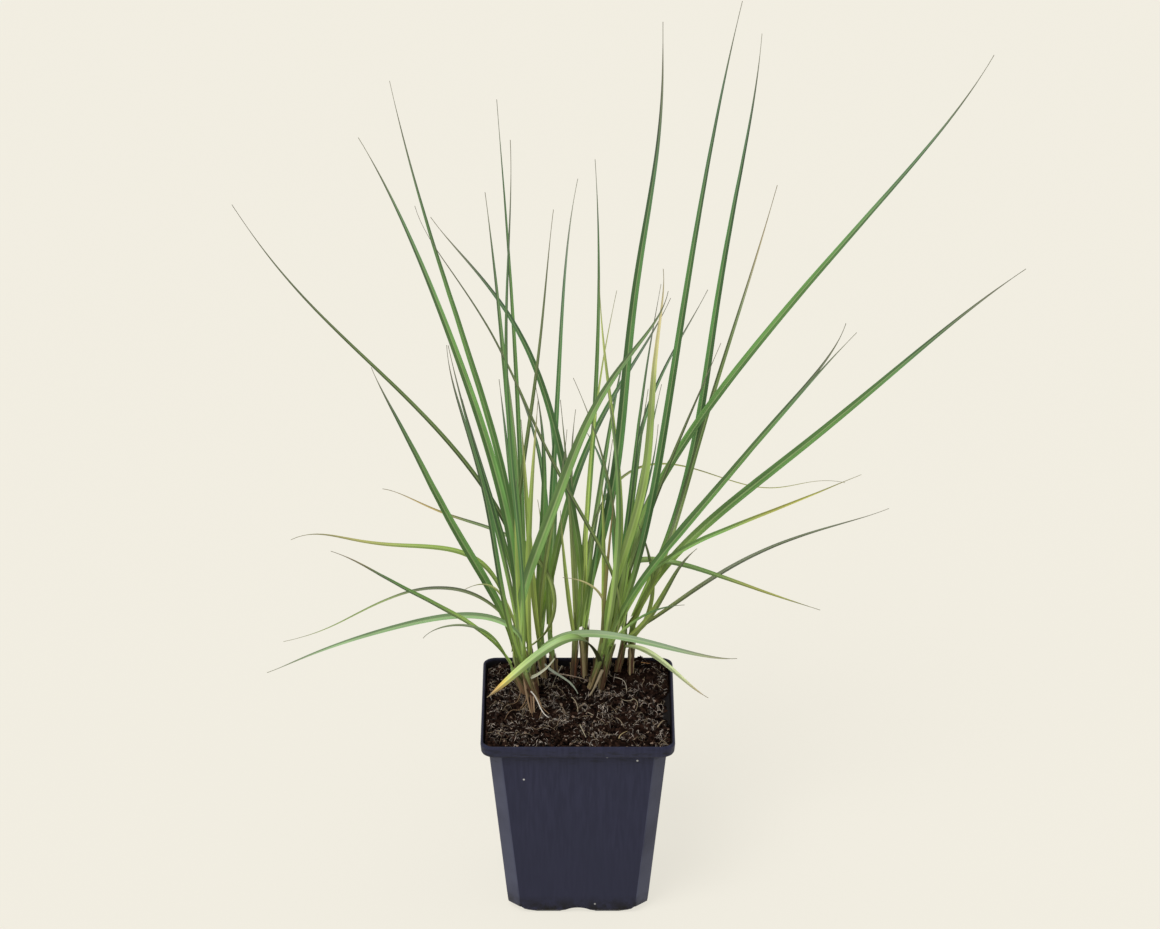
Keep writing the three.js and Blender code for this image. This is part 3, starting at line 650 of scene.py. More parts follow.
def dry_sheath_finish():
    """Dead leaf sheath, dried and split: dull straw and brown fibres along it."""
    material, node, skin = new_finish("dry fibrous leaf sheath")
    # Fibres 0.4 mm wide and about 8 mm long.
    surface = node("Mapping", {
        "Vector": node("UVMap", uv_map="UVMap"), "Scale": (1 / 0.0004, 1 / 0.008, 1)})
    fibres = node("TexNoise", {"Vector": surface, "Scale": 1.0, "Detail": 3.0, "Roughness": 0.7})
    streaks = node("MapRange", {"Value": fibres, 1: 0.3, 2: 0.7, 3: 0.5, 4: 1.35})
    skin({
        "Base Color": node("VectorMath", {
            0: node("Attribute", attribute_name="tint"), "Scale": streaks}, operation="SCALE"),
        "Normal": node("Bump", {"Height": fibres, "Strength": 0.8, "Distance": 0.0002}),
        "Roughness": 0.78,
    })
    return material


def pot_plastic_finish():
    """Polypropylene, thermoformed and dyed blue black: a dull satin skin with faint upright
    drawing lines, cut corners painted paler as a painted reflection of light from the sides, scuffs
    under the collar and dried soil at the foot."""
    material, node, skin = new_finish("thermoformed blue black polypropylene")
    place = node("TexCoord").outputs["Object"]
    height = node("SeparateXYZ", {0: place}).outputs["Z"]
    corner = node("Attribute", attribute_name="corner").outputs["Fac"]
    inner = node("Attribute", attribute_name="inner").outputs["Fac"]
    # Drawing lines 1.5 mm apart that run up the walls for some 40 mm.
    lines = node("TexNoise", {
        "Vector": node("Mapping", {"Vector": place, "Scale": (1 / 0.0015, 1 / 0.0015, 1 / 0.04)}),
        "Scale": 1.0, "Detail": 1.0, "Roughness": 0.6,
    })
    # Scuffs 2 to 8 mm long.
    scuffs = node("TexNoise", {
        "Vector": node("Mapping", {"Vector": place, "Scale": (1 / 0.006, 1 / 0.006, 1 / 0.0012)}),
        "Scale": 1.0, "Detail": 3.0, "Roughness": 0.7,
    })
    # Cloudy changes every 25 mm, and grit every 4 mm.
    clouds = node("TexNoise", {"Vector": place, "Scale": 1 / 0.025, "Detail": 3.0})
    grit = node("TexNoise", {"Vector": place, "Scale": 1 / 0.004, "Detail": 4.0, "Roughness": 0.7})
    # Each layer has its colour and the factors of its cover. A factor in brackets turns what it
    # names into a cover: between the first two numbers, from the third number to the fourth.
    layers = [
        ("#2c2d45", (lines, 0.35, 0.65, 0.0, 1.0), (height, 0.02, 0.07, 0.35, 1.0)),
        ("#25273a", clouds),
        # Painted reflection: the cut corners are painted paler, as if they caught the light from
        # the sides.
        ("#4c4f63", corner, (clouds, 0.35, 0.65, 0.3, 0.85)),
        # Painted shade and soil smear: the inner walls are painted near black up to 1 mm under the
        # rim, for the shade in the pot's recess above the soil and the soil smeared on them.
        ("#110d0b", inner, (height, 0.0935, 0.0948, 0.95, 0.3)),
        # Scuffs in the 4 mm under the collar, and on it.
        ("#14151d", (height, 0.083, 0.087, 0.0, 1.0), (height, 0.092, 0.095, 1.0, 0.0),
         (scuffs, 0.52, 0.66, 0.0, 0.8)),
    ]
    # Single specks of grit, half a millimetre wide.
    for speck in POT_SPECKS:
        near = node("VectorMath", {0: place, 1: Vector(speck) * MM}, operation="DISTANCE")
        layers.append(("#c9c8c6", (near, 0.0003, 0.0006, 0.85, 0.0)))
    # Dried soil in the lowest 9 mm.
    layers.append(("#0d0b09", (height, 0.002, 0.010, 1.0, 0.0), (grit, 0.38, 0.60, 0.1, 1.0)))
    colour = rgba("#212239")
    for tone, *factors in layers:
        cover = None
        for factor in factors:
            if isinstance(factor, tuple):
                factor = node("MapRange", dict(enumerate(factor)))
            cover = factor if cover is None else node("Math", {
                0: cover, 1: factor}, operation="MULTIPLY")
        colour = node("Mix", {"Factor": cover, "A": colour, "B": rgba(tone)}, data_type="RGBA")
    skin({
        "Base Color": colour,
        "Normal": node("Bump", {"Height": lines, "Strength": 0.25, "Distance": 0.0002}),
        "Roughness": node("MapRange", {"Value": clouds, 1: 0.3, 2: 0.7, 3: 0.42, 4: 0.56}),
        "Specular IOR Level": 0.2,
    })
    return material


def potting_soil_finish():
    """Peat potting soil, damp and crumbled: almost black brown, with crumbs of several browns."""
    material, node, skin = new_finish("damp peat potting soil")
    place = node("TexCoord").outputs["Object"]
    # Crumbs of 1.1 mm, each with its own brown, and one in thirty of them pale.
    crumbs = node("TexVoronoi", {"Vector": place, "Scale": 1 / 0.0011, "Randomness": 1.0})
    pick = node("SeparateXYZ", {0: crumbs.outputs["Color"]})
    brown = node("Math", {0: pick, 1: 2.0}, operation="POWER")
    pale = node("MapRange", {"Value": pick, 1: 0.965, 2: 0.98, 3: 0.0, 4: 1.0})
    # Patches 15 mm wide where the peat is redder and drier.
    patches = node("TexNoise", {"Vector": place, "Scale": 1 / 0.015, "Detail": 2.0})
    drier = node("MapRange", {"Value": patches, 1: 0.5, 2: 0.7, 3: 0.0, 4: 0.4})
    colour = rgba("#060404")
    for cover, tone in ((brown, "#38271f"), (pale, "#877364"), (drier, "#33221a")):
        colour = node("Mix", {"Factor": cover, "A": colour, "B": rgba(tone)}, data_type="RGBA")
    grain = node("TexNoise", {
        "Vector": place, "Scale": 1 / 0.0006, "Detail": 3.0, "Roughness": 0.7})
    skin({
        "Base Color": colour,
        "Normal": node("Bump", {"Height": grain, "Strength": 0.8, "Distance": 0.0004}),
        "Roughness": 0.9, "Specular IOR Level": 0.02,
    })
    return material


def fibre_finish():
    """Peat and coir fibre, shredded: matt threads from tan to dark brown."""
    material, node, skin = new_finish("shredded peat fibre")
    # Marks every 1.5 mm along a thread.
    marks = node("TexNoise", {
        "Vector": node("TexCoord").outputs["Object"], "Scale": 1 / 0.0015, "Detail": 2.0})
    level = node("MapRange", {"Value": marks, 1: 0.3, 2: 0.7, 3: 0.6, 4: 1.25})
    skin({
        "Base Color": node("VectorMath", {
            0: node("Attribute", attribute_name="tint"), "Scale": level}, operation="SCALE"),
        "Roughness": 0.8, "Specular IOR Level": 0.15,
    })
    return material


def studio_table_finish():
    """Opal acrylic light table, cast: a plain warm off-white that glows, so shadows stay faint."""
    material, node, skin = new_finish("warm white opal acrylic table")
    # Broad changes every half metre, too faint to see as a pattern.
    tone = node("TexNoise", {
        "Vector": node("TexCoord").outputs["Object"], "Scale": 2.0, "Detail": 1.0})
    colour = node("Mix", {
        "Factor": tone, "A": rgba("#f2eee2"), "B": rgba("#f1ede1")}, data_type="RGBA")
    skin({
        "Base Color": node("VectorMath", {
            0: colour, "Scale": 1 - TABLE_GLOW}, operation="SCALE"),
        "Emission Color": colour, "Emission Strength": TABLE_GLOW,
        "Roughness": 1.0, "Specular IOR Level": 0.0,
    })
    return material


# Camera, light and floor

# The focal length measured in the view, in the same unit as the view's width.
VIEW_FOCUS, VIEW_WIDTH = 5150, 1160
SENSOR_WIDTH = 36
FLOOR_REACH = 12


def set_the_stage():
    """The view that the pot's rim and foot were measured in: 160 mm lens, 25.5 degrees down."""
    target, distance, down = Vector((0.001, 0, 0.218)), 2.358, math.radians(25.5)
    camera = new_piece("camera", bpy.data.cameras.new("camera"))
    camera.data.sensor_width = SENSOR_WIDTH
    camera.data.lens = SENSOR_WIDTH * VIEW_FOCUS / VIEW_WIDTH
    camera.data.clip_end = 50
    camera.location = target + distance * Vector((0, -math.cos(down), math.sin(down)))
    camera.rotation_euler = (math.pi / 2 - down, 0, 0)
    scene.camera = camera
    scene.view_settings.view_transform = "Standard"

    scene.world = scene.world or bpy.data.worlds.new("studio")
    scene.world.use_nodes = True
    sky = scene.world.node_tree
    feed(sky, sky.nodes["Background"], {"Color": (1.0, 0.995, 0.98, 1), "Strength": 0.52})

    sun = new_piece("soft_key", bpy.data.lights.new("soft_key", "SUN"))
    sun.data.energy = 1.9
    sun.data.angle = math.radians(32)
    sun.rotation_euler = Vector((0.45, 0.75, -1.2)).to_track_quat("-Z", "Y").to_euler()

    mesh = bpy.data.meshes.new("floor")
    sides = ((-1, -1), (1, -1), (1, 1), (-1, 1))
    corners = [(x * FLOOR_REACH, y * FLOOR_REACH, 0) for x, y in sides]
    mesh.from_pydata(corners, [], [(0, 1, 2, 3)])
    mesh.materials.append(studio_table_finish())
    new_piece("floor", mesh)


# Strands: leaves, sheaths, stems, roots and straws all follow a path with a section

STRAND_VECTORS = ("side", "upper", "centre")
STRAND_SIZES = ("half_width", "half_thick", "fold", "curl", "halves", "sheath", "along")


def strands_mesh(name, strands):
    """The paths of many strands as one mesh of edges, with what the tree needs at each point."""
    mesh = bpy.data.meshes.new(name)
    counts = [len(strand["along"]) for strand in strands]
    points = np.concatenate([strand["centre"] * MM for strand in strands])
    starts = np.cumsum([0, *counts])
    edges = [(start + i, start + i + 1)
             for start, count in zip(starts, counts) for i in range(count - 1)]
    mesh.from_pydata(points.tolist(), edges, [])
    for label in STRAND_VECTORS:
        parts = points if label == "centre" else np.concatenate([s[label] for s in strands])
        mark(mesh, label, parts, "FLOAT_VECTOR")
    for label in STRAND_SIZES:
        mark(mesh, label, np.concatenate([
            np.broadcast_to(s.get(label, 0), n) for s, n in zip(strands, counts)]))
    tints = np.concatenate([np.broadcast_to(s["tint"], (n, 3)) for s, n in zip(strands, counts)])
    mark(mesh, "tint", np.column_stack([tints, np.ones(len(tints))]), "FLOAT_COLOR")
    return mesh


def strand_tree():
    """Sweeps an oval section along each path, folds it up or curls it round, and finishes it."""
    tree, node, sizes = start_tree("strand sweep", {
        "Section points": "Int", "Ripple": "Float", "Seed": "Float",
        "Leaf finish": "Material", "Sheath finish": "Material",
    })
    ring = node("CurvePrimitiveCircle", {"Resolution": sizes["Section points"], "Radius": 1.0})
    on_ring = node("SeparateXYZ", {0: node("InputPosition")})
    for label, axis in (("across", "X"), ("above", "Y")):
        ring = node("StoreNamedAttribute", {
            "Geometry": ring, "Name": label, "Value": on_ring.outputs[axis],
        }, data_type="FLOAT", domain="POINT")
    swept = node("CurveToMesh", {
        "Curve": node("MeshToCurve", {"Mesh": sizes["Geometry"]}),
        "Profile Curve": ring, "Fill Caps": True,
    })
    stored = {label: node("InputNamedAttribute", {"Name": label}, data_type=kind)
              for kind, labels in (("FLOAT", (*STRAND_SIZES, "across", "above")),
                                   ("FLOAT_VECTOR", STRAND_VECTORS)) for label in labels}
    wide = node("Math", {0: stored["half_width"], 1: stored["across"]}, operation="MULTIPLY")
    spread = node("Math", {0: wide}, operation="ABSOLUTE")
    edge = node("Math", {0: stored["across"]}, operation="ABSOLUTE")
    # The edges ruffle about every 18 mm.
    ruffle = node("TexNoise", {
        "Vector": stored["centre"], "W": sizes["Seed"], "Scale": 55.0, "Detail": 1.0,
    }, noise_dimensions="4D")
    wave = node("Math", {0: ruffle, 1: 0.5}, operation="SUBTRACT")
    # The rise above the path is a sum of products: the fold, the ruffled edges, the curl round
    # a stem and the thickness.
    lift = None
    for factors in (
        (stored["fold"], spread), (wave, sizes["Ripple"], edge, stored["half_width"]),
        (stored["curl"], wide, wide, -1.0), (stored["half_thick"], stored["above"]),
    ):
        part = factors[0]
        for factor in factors[1:]:
            part = node("Math", {0: part, 1: factor}, operation="MULTIPLY")
        lift = part if lift is None else node("Math", {0: lift, 1: part}, operation="ADD")
    place = stored["centre"]
    for direction, amount in (("side", wide), ("upper", lift)):
        shift = node("VectorMath", {0: stored[direction], "Scale": amount}, operation="SCALE")
        place = node("VectorMath", {0: place, 1: shift}, operation="ADD")
    shaped = node("SetPosition", {"Geometry": swept, "Position": place})
    mapped = node("StoreNamedAttribute", {
        "Geometry": shaped, "Name": "UVMap",
        "Value": node("CombineXYZ", {"X": wide, "Y": stored["along"]}),
    }, data_type="FLOAT2", domain="CORNER")
    # The side and upper directions are mirrored against the sweep, so the faces are turned back.
    outward = node("FlipFaces", {"Mesh": mapped})
    smooth = node("SetShadeSmooth", {"Geometry": outward, "Shade Smooth": True})
    dead = node("Compare", {"A": stored["sheath"], "B": 0.5}, operation="GREATER_THAN")
    return end_tree(tree, smooth, {"Material": sizes["Leaf finish"]},
                    {"Material": sizes["Sheath finish"], "Selection": dead})


def direction_at(path, t):
    return unit(path_points(path, t + SMALL_STEP) - path_points(path, t - SMALL_STEP))


def frames_along(path, t, turn):
    """Centre, side and upper directions along a leaf, turned by an angle at each place."""
    along = direction_at(path, t)
    chord = unit(path["points"][-1] - path["points"][0])
    sideways = unit(np.cross(chord, LEAF_FACING))
    side = unit(sideways - along * (along @ sideways)[:, None])
    side = side * np.cos(turn)[:, None] + np.cross(along, side) * np.sin(turn)[:, None]
    return path_points(path, t), side, np.cross(side, along)


def leaf_strand(path, turns, draws):
    """One leaf: clasping at the stem, folded along its middle, with a hair for a tip."""
    t = np.linspace(0, 1, LEAF_STATIONS)
    turn_at_root = (next(turns) - 0.5) * MOST_TWIST
    turn_at_tip = turn_at_root + (next(turns) - 0.5) * 2 * MOST_TWIST
    centre, side, upper = frames_along(path, t, turn_at_root + (turn_at_tip - turn_at_root) * t)
    own = path["name"], path["order"]
    width = leaf_width(path["leaf_width"], t, HAIR_WIDTH, BLUNT.get(own, TAPER))
    away = t * path["length"]
    root, body, tip = (linear(colour) for colour in TONES[OWN_TONES.get(own, path["tone"])])
    level = 0.86 + 0.28 * next(draws)
    root_tone_to = 40 + 60 * next(draws)
    tint = mixed(root, body, smooth_step(4, root_tone_to, away))
    if own in SHADED_ROOTS:
        shade, until = SHADED_ROOTS[own]
        tint = mixed(linear(shade), tint, smooth_step(until * SHADE_FULL_TO, until, away))
    tint = mixed(tint, tip, smooth_step(*TIP_TONE_SPAN, t))
    if own in WITHERED:
        colour, start = WITHERED[own]
        withered = smooth_step(start - WITHER_SPAN, start + WITHER_SPAN, t)
        tint = mixed(tint, linear(colour), withered)
    fade_from = 0.72 + 0.14 * next(draws)
    tint = mixed(tint, TIP_COLOUR, MOST_FADE * smooth_step(fade_from, 1.0, t)) * level
    # Painted shade: how much darker one side of the fold is painted than the other, and which side.
    halves = 0.16 + 0.24 * next(draws)
    return {
        "centre": centre, "side": side, "upper": upper, "tint": tint, "along": away * MM,
        "half_width": width / 2 * MM,
        "half_thick": BLADE_THICKNESS / 2 * MM * (
            HAIR_SHARE + (1 - HAIR_SHARE) * np.minimum(width / FULL_BLADE_WIDTH, 1)),
        "fold": 2 * LEAF_FOLD + CLASP_FOLD * np.exp(-away / CLASP_REACH),
        "halves": halves if next(draws) > 0.5 else -halves,
    }


def stem_strands(stem, draws):
    """A round stem that closes at its top, wrapped in green and dead sheaths."""
    collar, top = stem["points"]
    axis = unit(top - collar)
    across = unit(np.cross(axis, [0, 1, 0]))
    deep = np.cross(across, axis)
    # The stem starts in its hole and ends where its top leaf has wrapped it.
    t = np.linspace(0, 1, STEM_STATIONS)
    centre = collar + np.outer(t * STEM_SPAN - STEM_START, top - collar)
    radius = SLIM_FOOT + (STEM_TOP_RADIUS - SLIM_FOOT) * t
    radius = radius * np.sqrt(np.clip(1 - smooth_step(STEM_CLOSES, 1.0, t) * 0.95, 0, 1))
    height = centre[:, 2] - (collar[2] - COLLAR_RISE)
    brown, olive, green = (linear(colour) for colour in STEM_COLOURS)
    dead_to = DEAD_SHEATH_TO[stem["name"].split("_")[0]] * (0.8 + 0.4 * next(draws))
    tint = mixed(brown, olive, smooth_step(0.2 * dead_to, dead_to, height))
    tint = mixed(tint, green, smooth_step(0.8 * dead_to, 2.2 * dead_to, height))
    strands = [{
        "centre": centre, "side": np.tile(across, (len(t), 1)), "upper": np.tile(deep, (len(t), 1)),
        "half_width": radius * MM, "half_thick": radius * MM, "tint": tint,
        "along": t * np.linalg.norm(top - collar) * MM,
    }]
    # Sheaths stand round the stem, some of them split off from it toward their tips.
    s = np.linspace(0, 1, SHEATH_STATIONS)
    count = 7 + int(4 * next(draws))
    for k in range(count):
        angle = 2 * math.pi * (k + 0.6 * next(draws)) / count
        radial = across * math.cos(angle) + deep * math.sin(angle)
        around = np.cross(axis, radial)
        high = 5 + 1.2 * dead_to * next(draws) ** 1.3
        away = 0.2 + 1.3 * next(draws) ** 3
        lean = (next(draws) - 0.5) * 2.6
        stands_off = SLIM_FOOT + 0.05 + 0.3 * next(draws) - 0.2 * s
        stands_off = stands_off + away * smooth_step(0.5, 1.0, s)
        line = (collar - axis * 3)[None, :] + np.outer(s * (high + 3), axis)
        line = line + np.outer(stands_off, radial) + np.outer(lean * s ** 2, around)
        width = (0.45 + 0.6 * next(draws)) * np.sqrt(np.clip(1.02 - s ** 2, 0, 1))
        colour = linear(SHEATH_COLOURS[int(next(draws) * len(SHEATH_COLOURS))])
        colour = colour * (0.7 + 0.5 * next(draws))
        greener = smooth_step(6, 20, s * high)[:, None] * next(draws)
        strands.append({
            "centre": line, "side": np.tile(around, (len(s), 1)),
            "upper": np.tile(radial, (len(s), 1)), "half_width": np.maximum(width, 0.10) * MM,
            "half_thick": SHEATH_THICKNESS / 2 * MM, "sheath": 1.0, "along": s * high * MM,
            "curl": (1 - 0.8 * s) / (2 * SLIM_FOOT * MM),
            "tint": colour[None, :] * (1 - greener) + linear(GREEN_SHEATH)[None, :] * greener,
        })
    return strands


def thread_strand(points, radius, flatness, colour):
    """A thread through points, thinner toward its end, and flat where it is a bit of leaf."""
    path = make_path(points)
    t = np.linspace(0, 1, THREAD_STATIONS)
    along = direction_at(path, t)
    side = unit(np.cross(along, [0, 0, 1]))
    size = radius * MM * (1 - 0.6 * t)
    return {
        "centre": path_points(path, t), "side": side, "upper": np.cross(side, along),
        "half_width": size, "half_thick": size * flatness, "sheath": 1.0,
        "along": t * path["length"] * MM, "tint": linear(colour),
    }


# Pot

def square_ring(width, corner, z, raised=0.0):
    """The outline of a level of the pot: a square whose corners are cut flat and softened. The
    corners may be raised above the level."""
    cut, soft = corner
    near = width / 2 - soft
    far = width / 2 - cut - soft * math.tan(math.pi / 8)
    points = [(width / 2, far - back, share * raised) for back, share in CORNER_RISE]
    for (x, y), start in (((near, far), 0), ((far, near), math.pi / 4)):
        for step in range(CORNER_STEPS):
            angle = start + step / (CORNER_STEPS - 1) * math.pi / 4
            points.append((x + soft * math.cos(angle), y + soft * math.sin(angle), raised))
    points += [(far - back, width / 2, share * raised) for back, share in CORNER_RISE[::-1]]
    ring = []
    for turn in range(4):
        c, s = round(math.cos(turn * math.pi / 2)), round(math.sin(turn * math.pi / 2))
        ring += [(c * x - s * y, s * x + c * y, z + lift) for x, y, lift in points]
    return ring


def body_width(z):
    return BASE_WIDTH + (SHOULDER_WIDTH - BASE_WIDTH) * z / BODY_TOP


def skin_over(rings, name):
    """A closed mesh over rings with equal counts, capped at both ends."""
    count = len(rings[0])
    faces = []
    for r in range(len(rings) - 1):
        for i in range(count):
            a, b = r * count + i, r * count + (i + 1) % count
            faces.append((a, b, b + count, a + count))
    last = (len(rings) - 1) * count
    faces += [tuple(reversed(range(count))), tuple(range(last, last + count))]
    mesh = bpy.data.meshes.new(name)
    mesh.from_pydata([Vector(p) * MM for ring in rings for p in ring], [], faces)
    return mesh


def round_bar(name, radius, start, end, sides=48):
    """A closed bar between two points, used to cut and to add round forms."""
    start, end = np.array(start, float), np.array(end, float)
    along = unit(end - start)
    side = unit(np.cross(along, [0.3, 0.5, 0.81]))
    other = np.cross(along, side)
    angles = np.arange(sides) / sides * 2 * math.pi
    rings = [[tuple(centre + radius * (math.cos(a) * side + math.sin(a) * other)) for a in angles]
             for centre in (start, end)]
    return new_piece(name, skin_over(rings, name))


def mark_walls(mesh):
    """Marks the flat corners under the collar, and the inner walls, for the pot's finish."""
    cut, collar_cut = BODY_CORNER[0], COLLAR_CORNER[0]
    places = np.empty(len(mesh.vertices) * 3, np.float32)
    mesh.vertices.foreach_get("co", places)
    x, y, z = np.abs(places.reshape(-1, 3).T) / MM
    short = body_width(z) - (x + y)
    within, beyond = CORNER_BAND
    near_cut = (short > cut - within) & (short < cut + beyond)
    # The corner mark carries the painted reflection on the pot's cut corners.
    mark(mesh, "corner", near_cut & (z > 1) & (z < BODY_TOP - 0.2))
    in_collar = z > COLLAR_FOOT - 0.5
    half = np.where(in_collar, RIM_WIDTH, body_width(z)) / 2
    across = np.maximum(np.maximum(x, y), (x + y + np.where(in_collar, collar_cut, cut)) / 2)
    # The inner mark carries the painted shade and soil smear on the inner walls.
    mark(mesh, "inner", (half - across > 0.8) & (z > FLOOR_TOP + 0.5))


def make_pot():
    """The pot as one skin up its outside and down its inside, with its arches and holes cut."""
    cut, soft = BODY_CORNER
    foot, inset = BASE_WIDTH - 2.4, 2 * WALL
    # Each level has its width, its corner, its height and how far its corners are raised.
    levels = [
        (foot - 2 * SKIRT_WALL, (cut - 1, soft), FLOOR_UNDERSIDE),
        (foot - 2 * SKIRT_WALL, (cut - 1, soft), 0, 2.3),
        (foot - 0.8, (cut - 0.4, soft), 0, 2.3),
        (foot, (cut - 0.3, soft), 0.5, 2.1),
        (body_width(1.6), BODY_CORNER, 1.6, 1.7),
        (body_width(4), BODY_CORNER, 4, 0.6),
    ]
    for z in (9, 20, 35, 50, 65, 78, 86, BODY_TOP - 0.4):
        levels.append((body_width(z), BODY_CORNER, z))
    levels.append((body_width(BODY_TOP) + 0.6, (cut, soft + 0.6), BODY_TOP))
    for less, z in (
        (2.4, COLLAR_FOOT - 0.2), (1.4, COLLAR_FOOT + 0.2), (0.7, COLLAR_FOOT + 1),
        (0.1, POT_HEIGHT - 1.3), (0.1, POT_HEIGHT - 0.8), (0.5, POT_HEIGHT - 0.2),
        (1.2, POT_HEIGHT),
    ):
        levels.append((RIM_WIDTH - less, COLLAR_CORNER, z))
    in_collar = (COLLAR_CORNER[0], COLLAR_CORNER[1] - WALL)
    for less, z in ((-0.5, POT_HEIGHT), (0, POT_HEIGHT - 0.4), (1.4, COLLAR_FOOT + 1.6)):
        levels.append((RIM_WIDTH - inset - less, in_collar, z))
    for at, less, z in (
        (BODY_TOP, 0, BODY_TOP + 0.5), (40, 0, 40), (6, 0, 6), (FLOOR_TOP, 1.5, FLOOR_TOP),
    ):
        levels.append((body_width(at) - inset - less, INNER_CORNER, z))
    rings = [square_ring(*level) for level in levels]
    pot = new_piece("nursery_pot", skin_over(rings, "nursery_pot"))

    reach = RIM_WIDTH / 2
    low = ARCH_HEIGHT - ARCH_RADIUS
    tools = [
        ("DIFFERENCE", round_bar("arch_a", ARCH_RADIUS, (0, -reach, low), (0, reach, low), 96)),
        ("DIFFERENCE", round_bar("arch_b", ARCH_RADIUS, (-reach, 0, low), (reach, 0, low), 96)),
        ("UNION", round_bar("foot", CENTRE_FOOT_RADIUS, (0, 0, 0), (0, 0, FLOOR_UNDERSIDE + 0.7))),
    ]
    for k, (x, y) in enumerate(DRAIN_PLACES):
        ends = (x, y, FLOOR_UNDERSIDE - 1), (x, y, FLOOR_TOP + 1)
        tools.append(("DIFFERENCE", round_bar(f"drain_{k}", DRAIN_RADIUS, *ends)))
    for operation, tool in tools:
        step = pot.modifiers.new("shape", "BOOLEAN")
        step.operation, step.object, step.solver = operation, tool, "EXACT"
    mesh = settle(pot)
    for _, tool in tools:
        bpy.data.objects.remove(tool)
    mark_walls(mesh)
    mesh.shade_smooth()
    mesh.set_sharp_from_angle(angle=math.radians(SHARPEST_SMOOTHED))
    mesh.materials.clear()
    mesh.materials.append(pot_plastic_finish())
    keep(pot, "pot_plastic", "pot")


# Soil

def inside_half(z):
    """Half the room inside the pot at a height."""
    if z < BODY_TOP + 0.5:
        return body_width(z) / 2 - WALL
    low, high = COLLAR_FOOT + 1.6, POT_HEIGHT - 0.4
    share = min(max((z - low) / (high - low), 0), 1)
    return (RIM_WIDTH - 2 * WALL - 1.4 * (1 - share)) / 2


def ground_mesh():
    """A closed block of soil with fine cells on top, and down to the pot's floor."""
    half, corner = inside_half(SOIL_LEVEL) - GROUND_INSET, GROUND_CORNER
    n = GROUND_CELLS + 1
    a, b = np.meshgrid(np.linspace(-1, 1, n), np.linspace(-1, 1, n))
    size = np.maximum(np.abs(a), np.abs(b))
    safe = np.where(size == 0, 1, size)
    x, y = a / safe * half, b / safe * half
    beyond_x, beyond_y = np.abs(x) - (half - corner), np.abs(y) - (half - corner)
    in_corner = (beyond_x > 0) & (beyond_y > 0)
    reach = np.where(in_corner, np.hypot(beyond_x, beyond_y), 1)
    x = np.where(in_corner, np.sign(x) * (half - corner + corner * beyond_x / reach), x) * size
    y = np.where(in_corner, np.sign(y) * (half - corner + corner * beyond_y / reach), y) * size
    points = np.column_stack([x.ravel(), y.ravel(), soil_height(x, y).ravel()])
    # The rim of the soil stays as it is, and the rest is free to be roughened.
    free = 1 - smooth_step(0.96, 0.995, size).ravel()
    faces = [(j * n + i, j * n + i + 1, j * n + n + i + 1, j * n + n + i)
             for j in range(n - 1) for i in range(n - 1)]
    edge = [i for i in range(n - 1)] + [j * n + n - 1 for j in range(n - 1)]
    edge += [(n - 1) * n + i for i in range(n - 1, 0, -1)] + [j * n for j in range(n - 1, 0, -1)]
    above, rings = edge, [points]
    for level in (BODY_TOP, 60, 30, FLOOR_TOP + 0.4):
        ring = points[edge] * ((inside_half(level) - SOIL_SLACK) / half)
        ring[:, 2] = level
        start = sum(len(r) for r in rings)
        rings.append(ring)
        below = list(range(start, start + len(edge)))
        for k in range(len(edge)):
            following = (k + 1) % len(edge)
            faces.append((above[following], above[k], below[k], below[following]))
        above = below
    faces.append(tuple(reversed(above)))
    everything = np.concatenate(rings)
    mesh = bpy.data.meshes.new("potting_soil")
    mesh.from_pydata((everything * MM).tolist(), [], faces)
    mark(mesh, "free", np.concatenate([free, np.zeros(len(everything) - len(free))]))
    return mesh


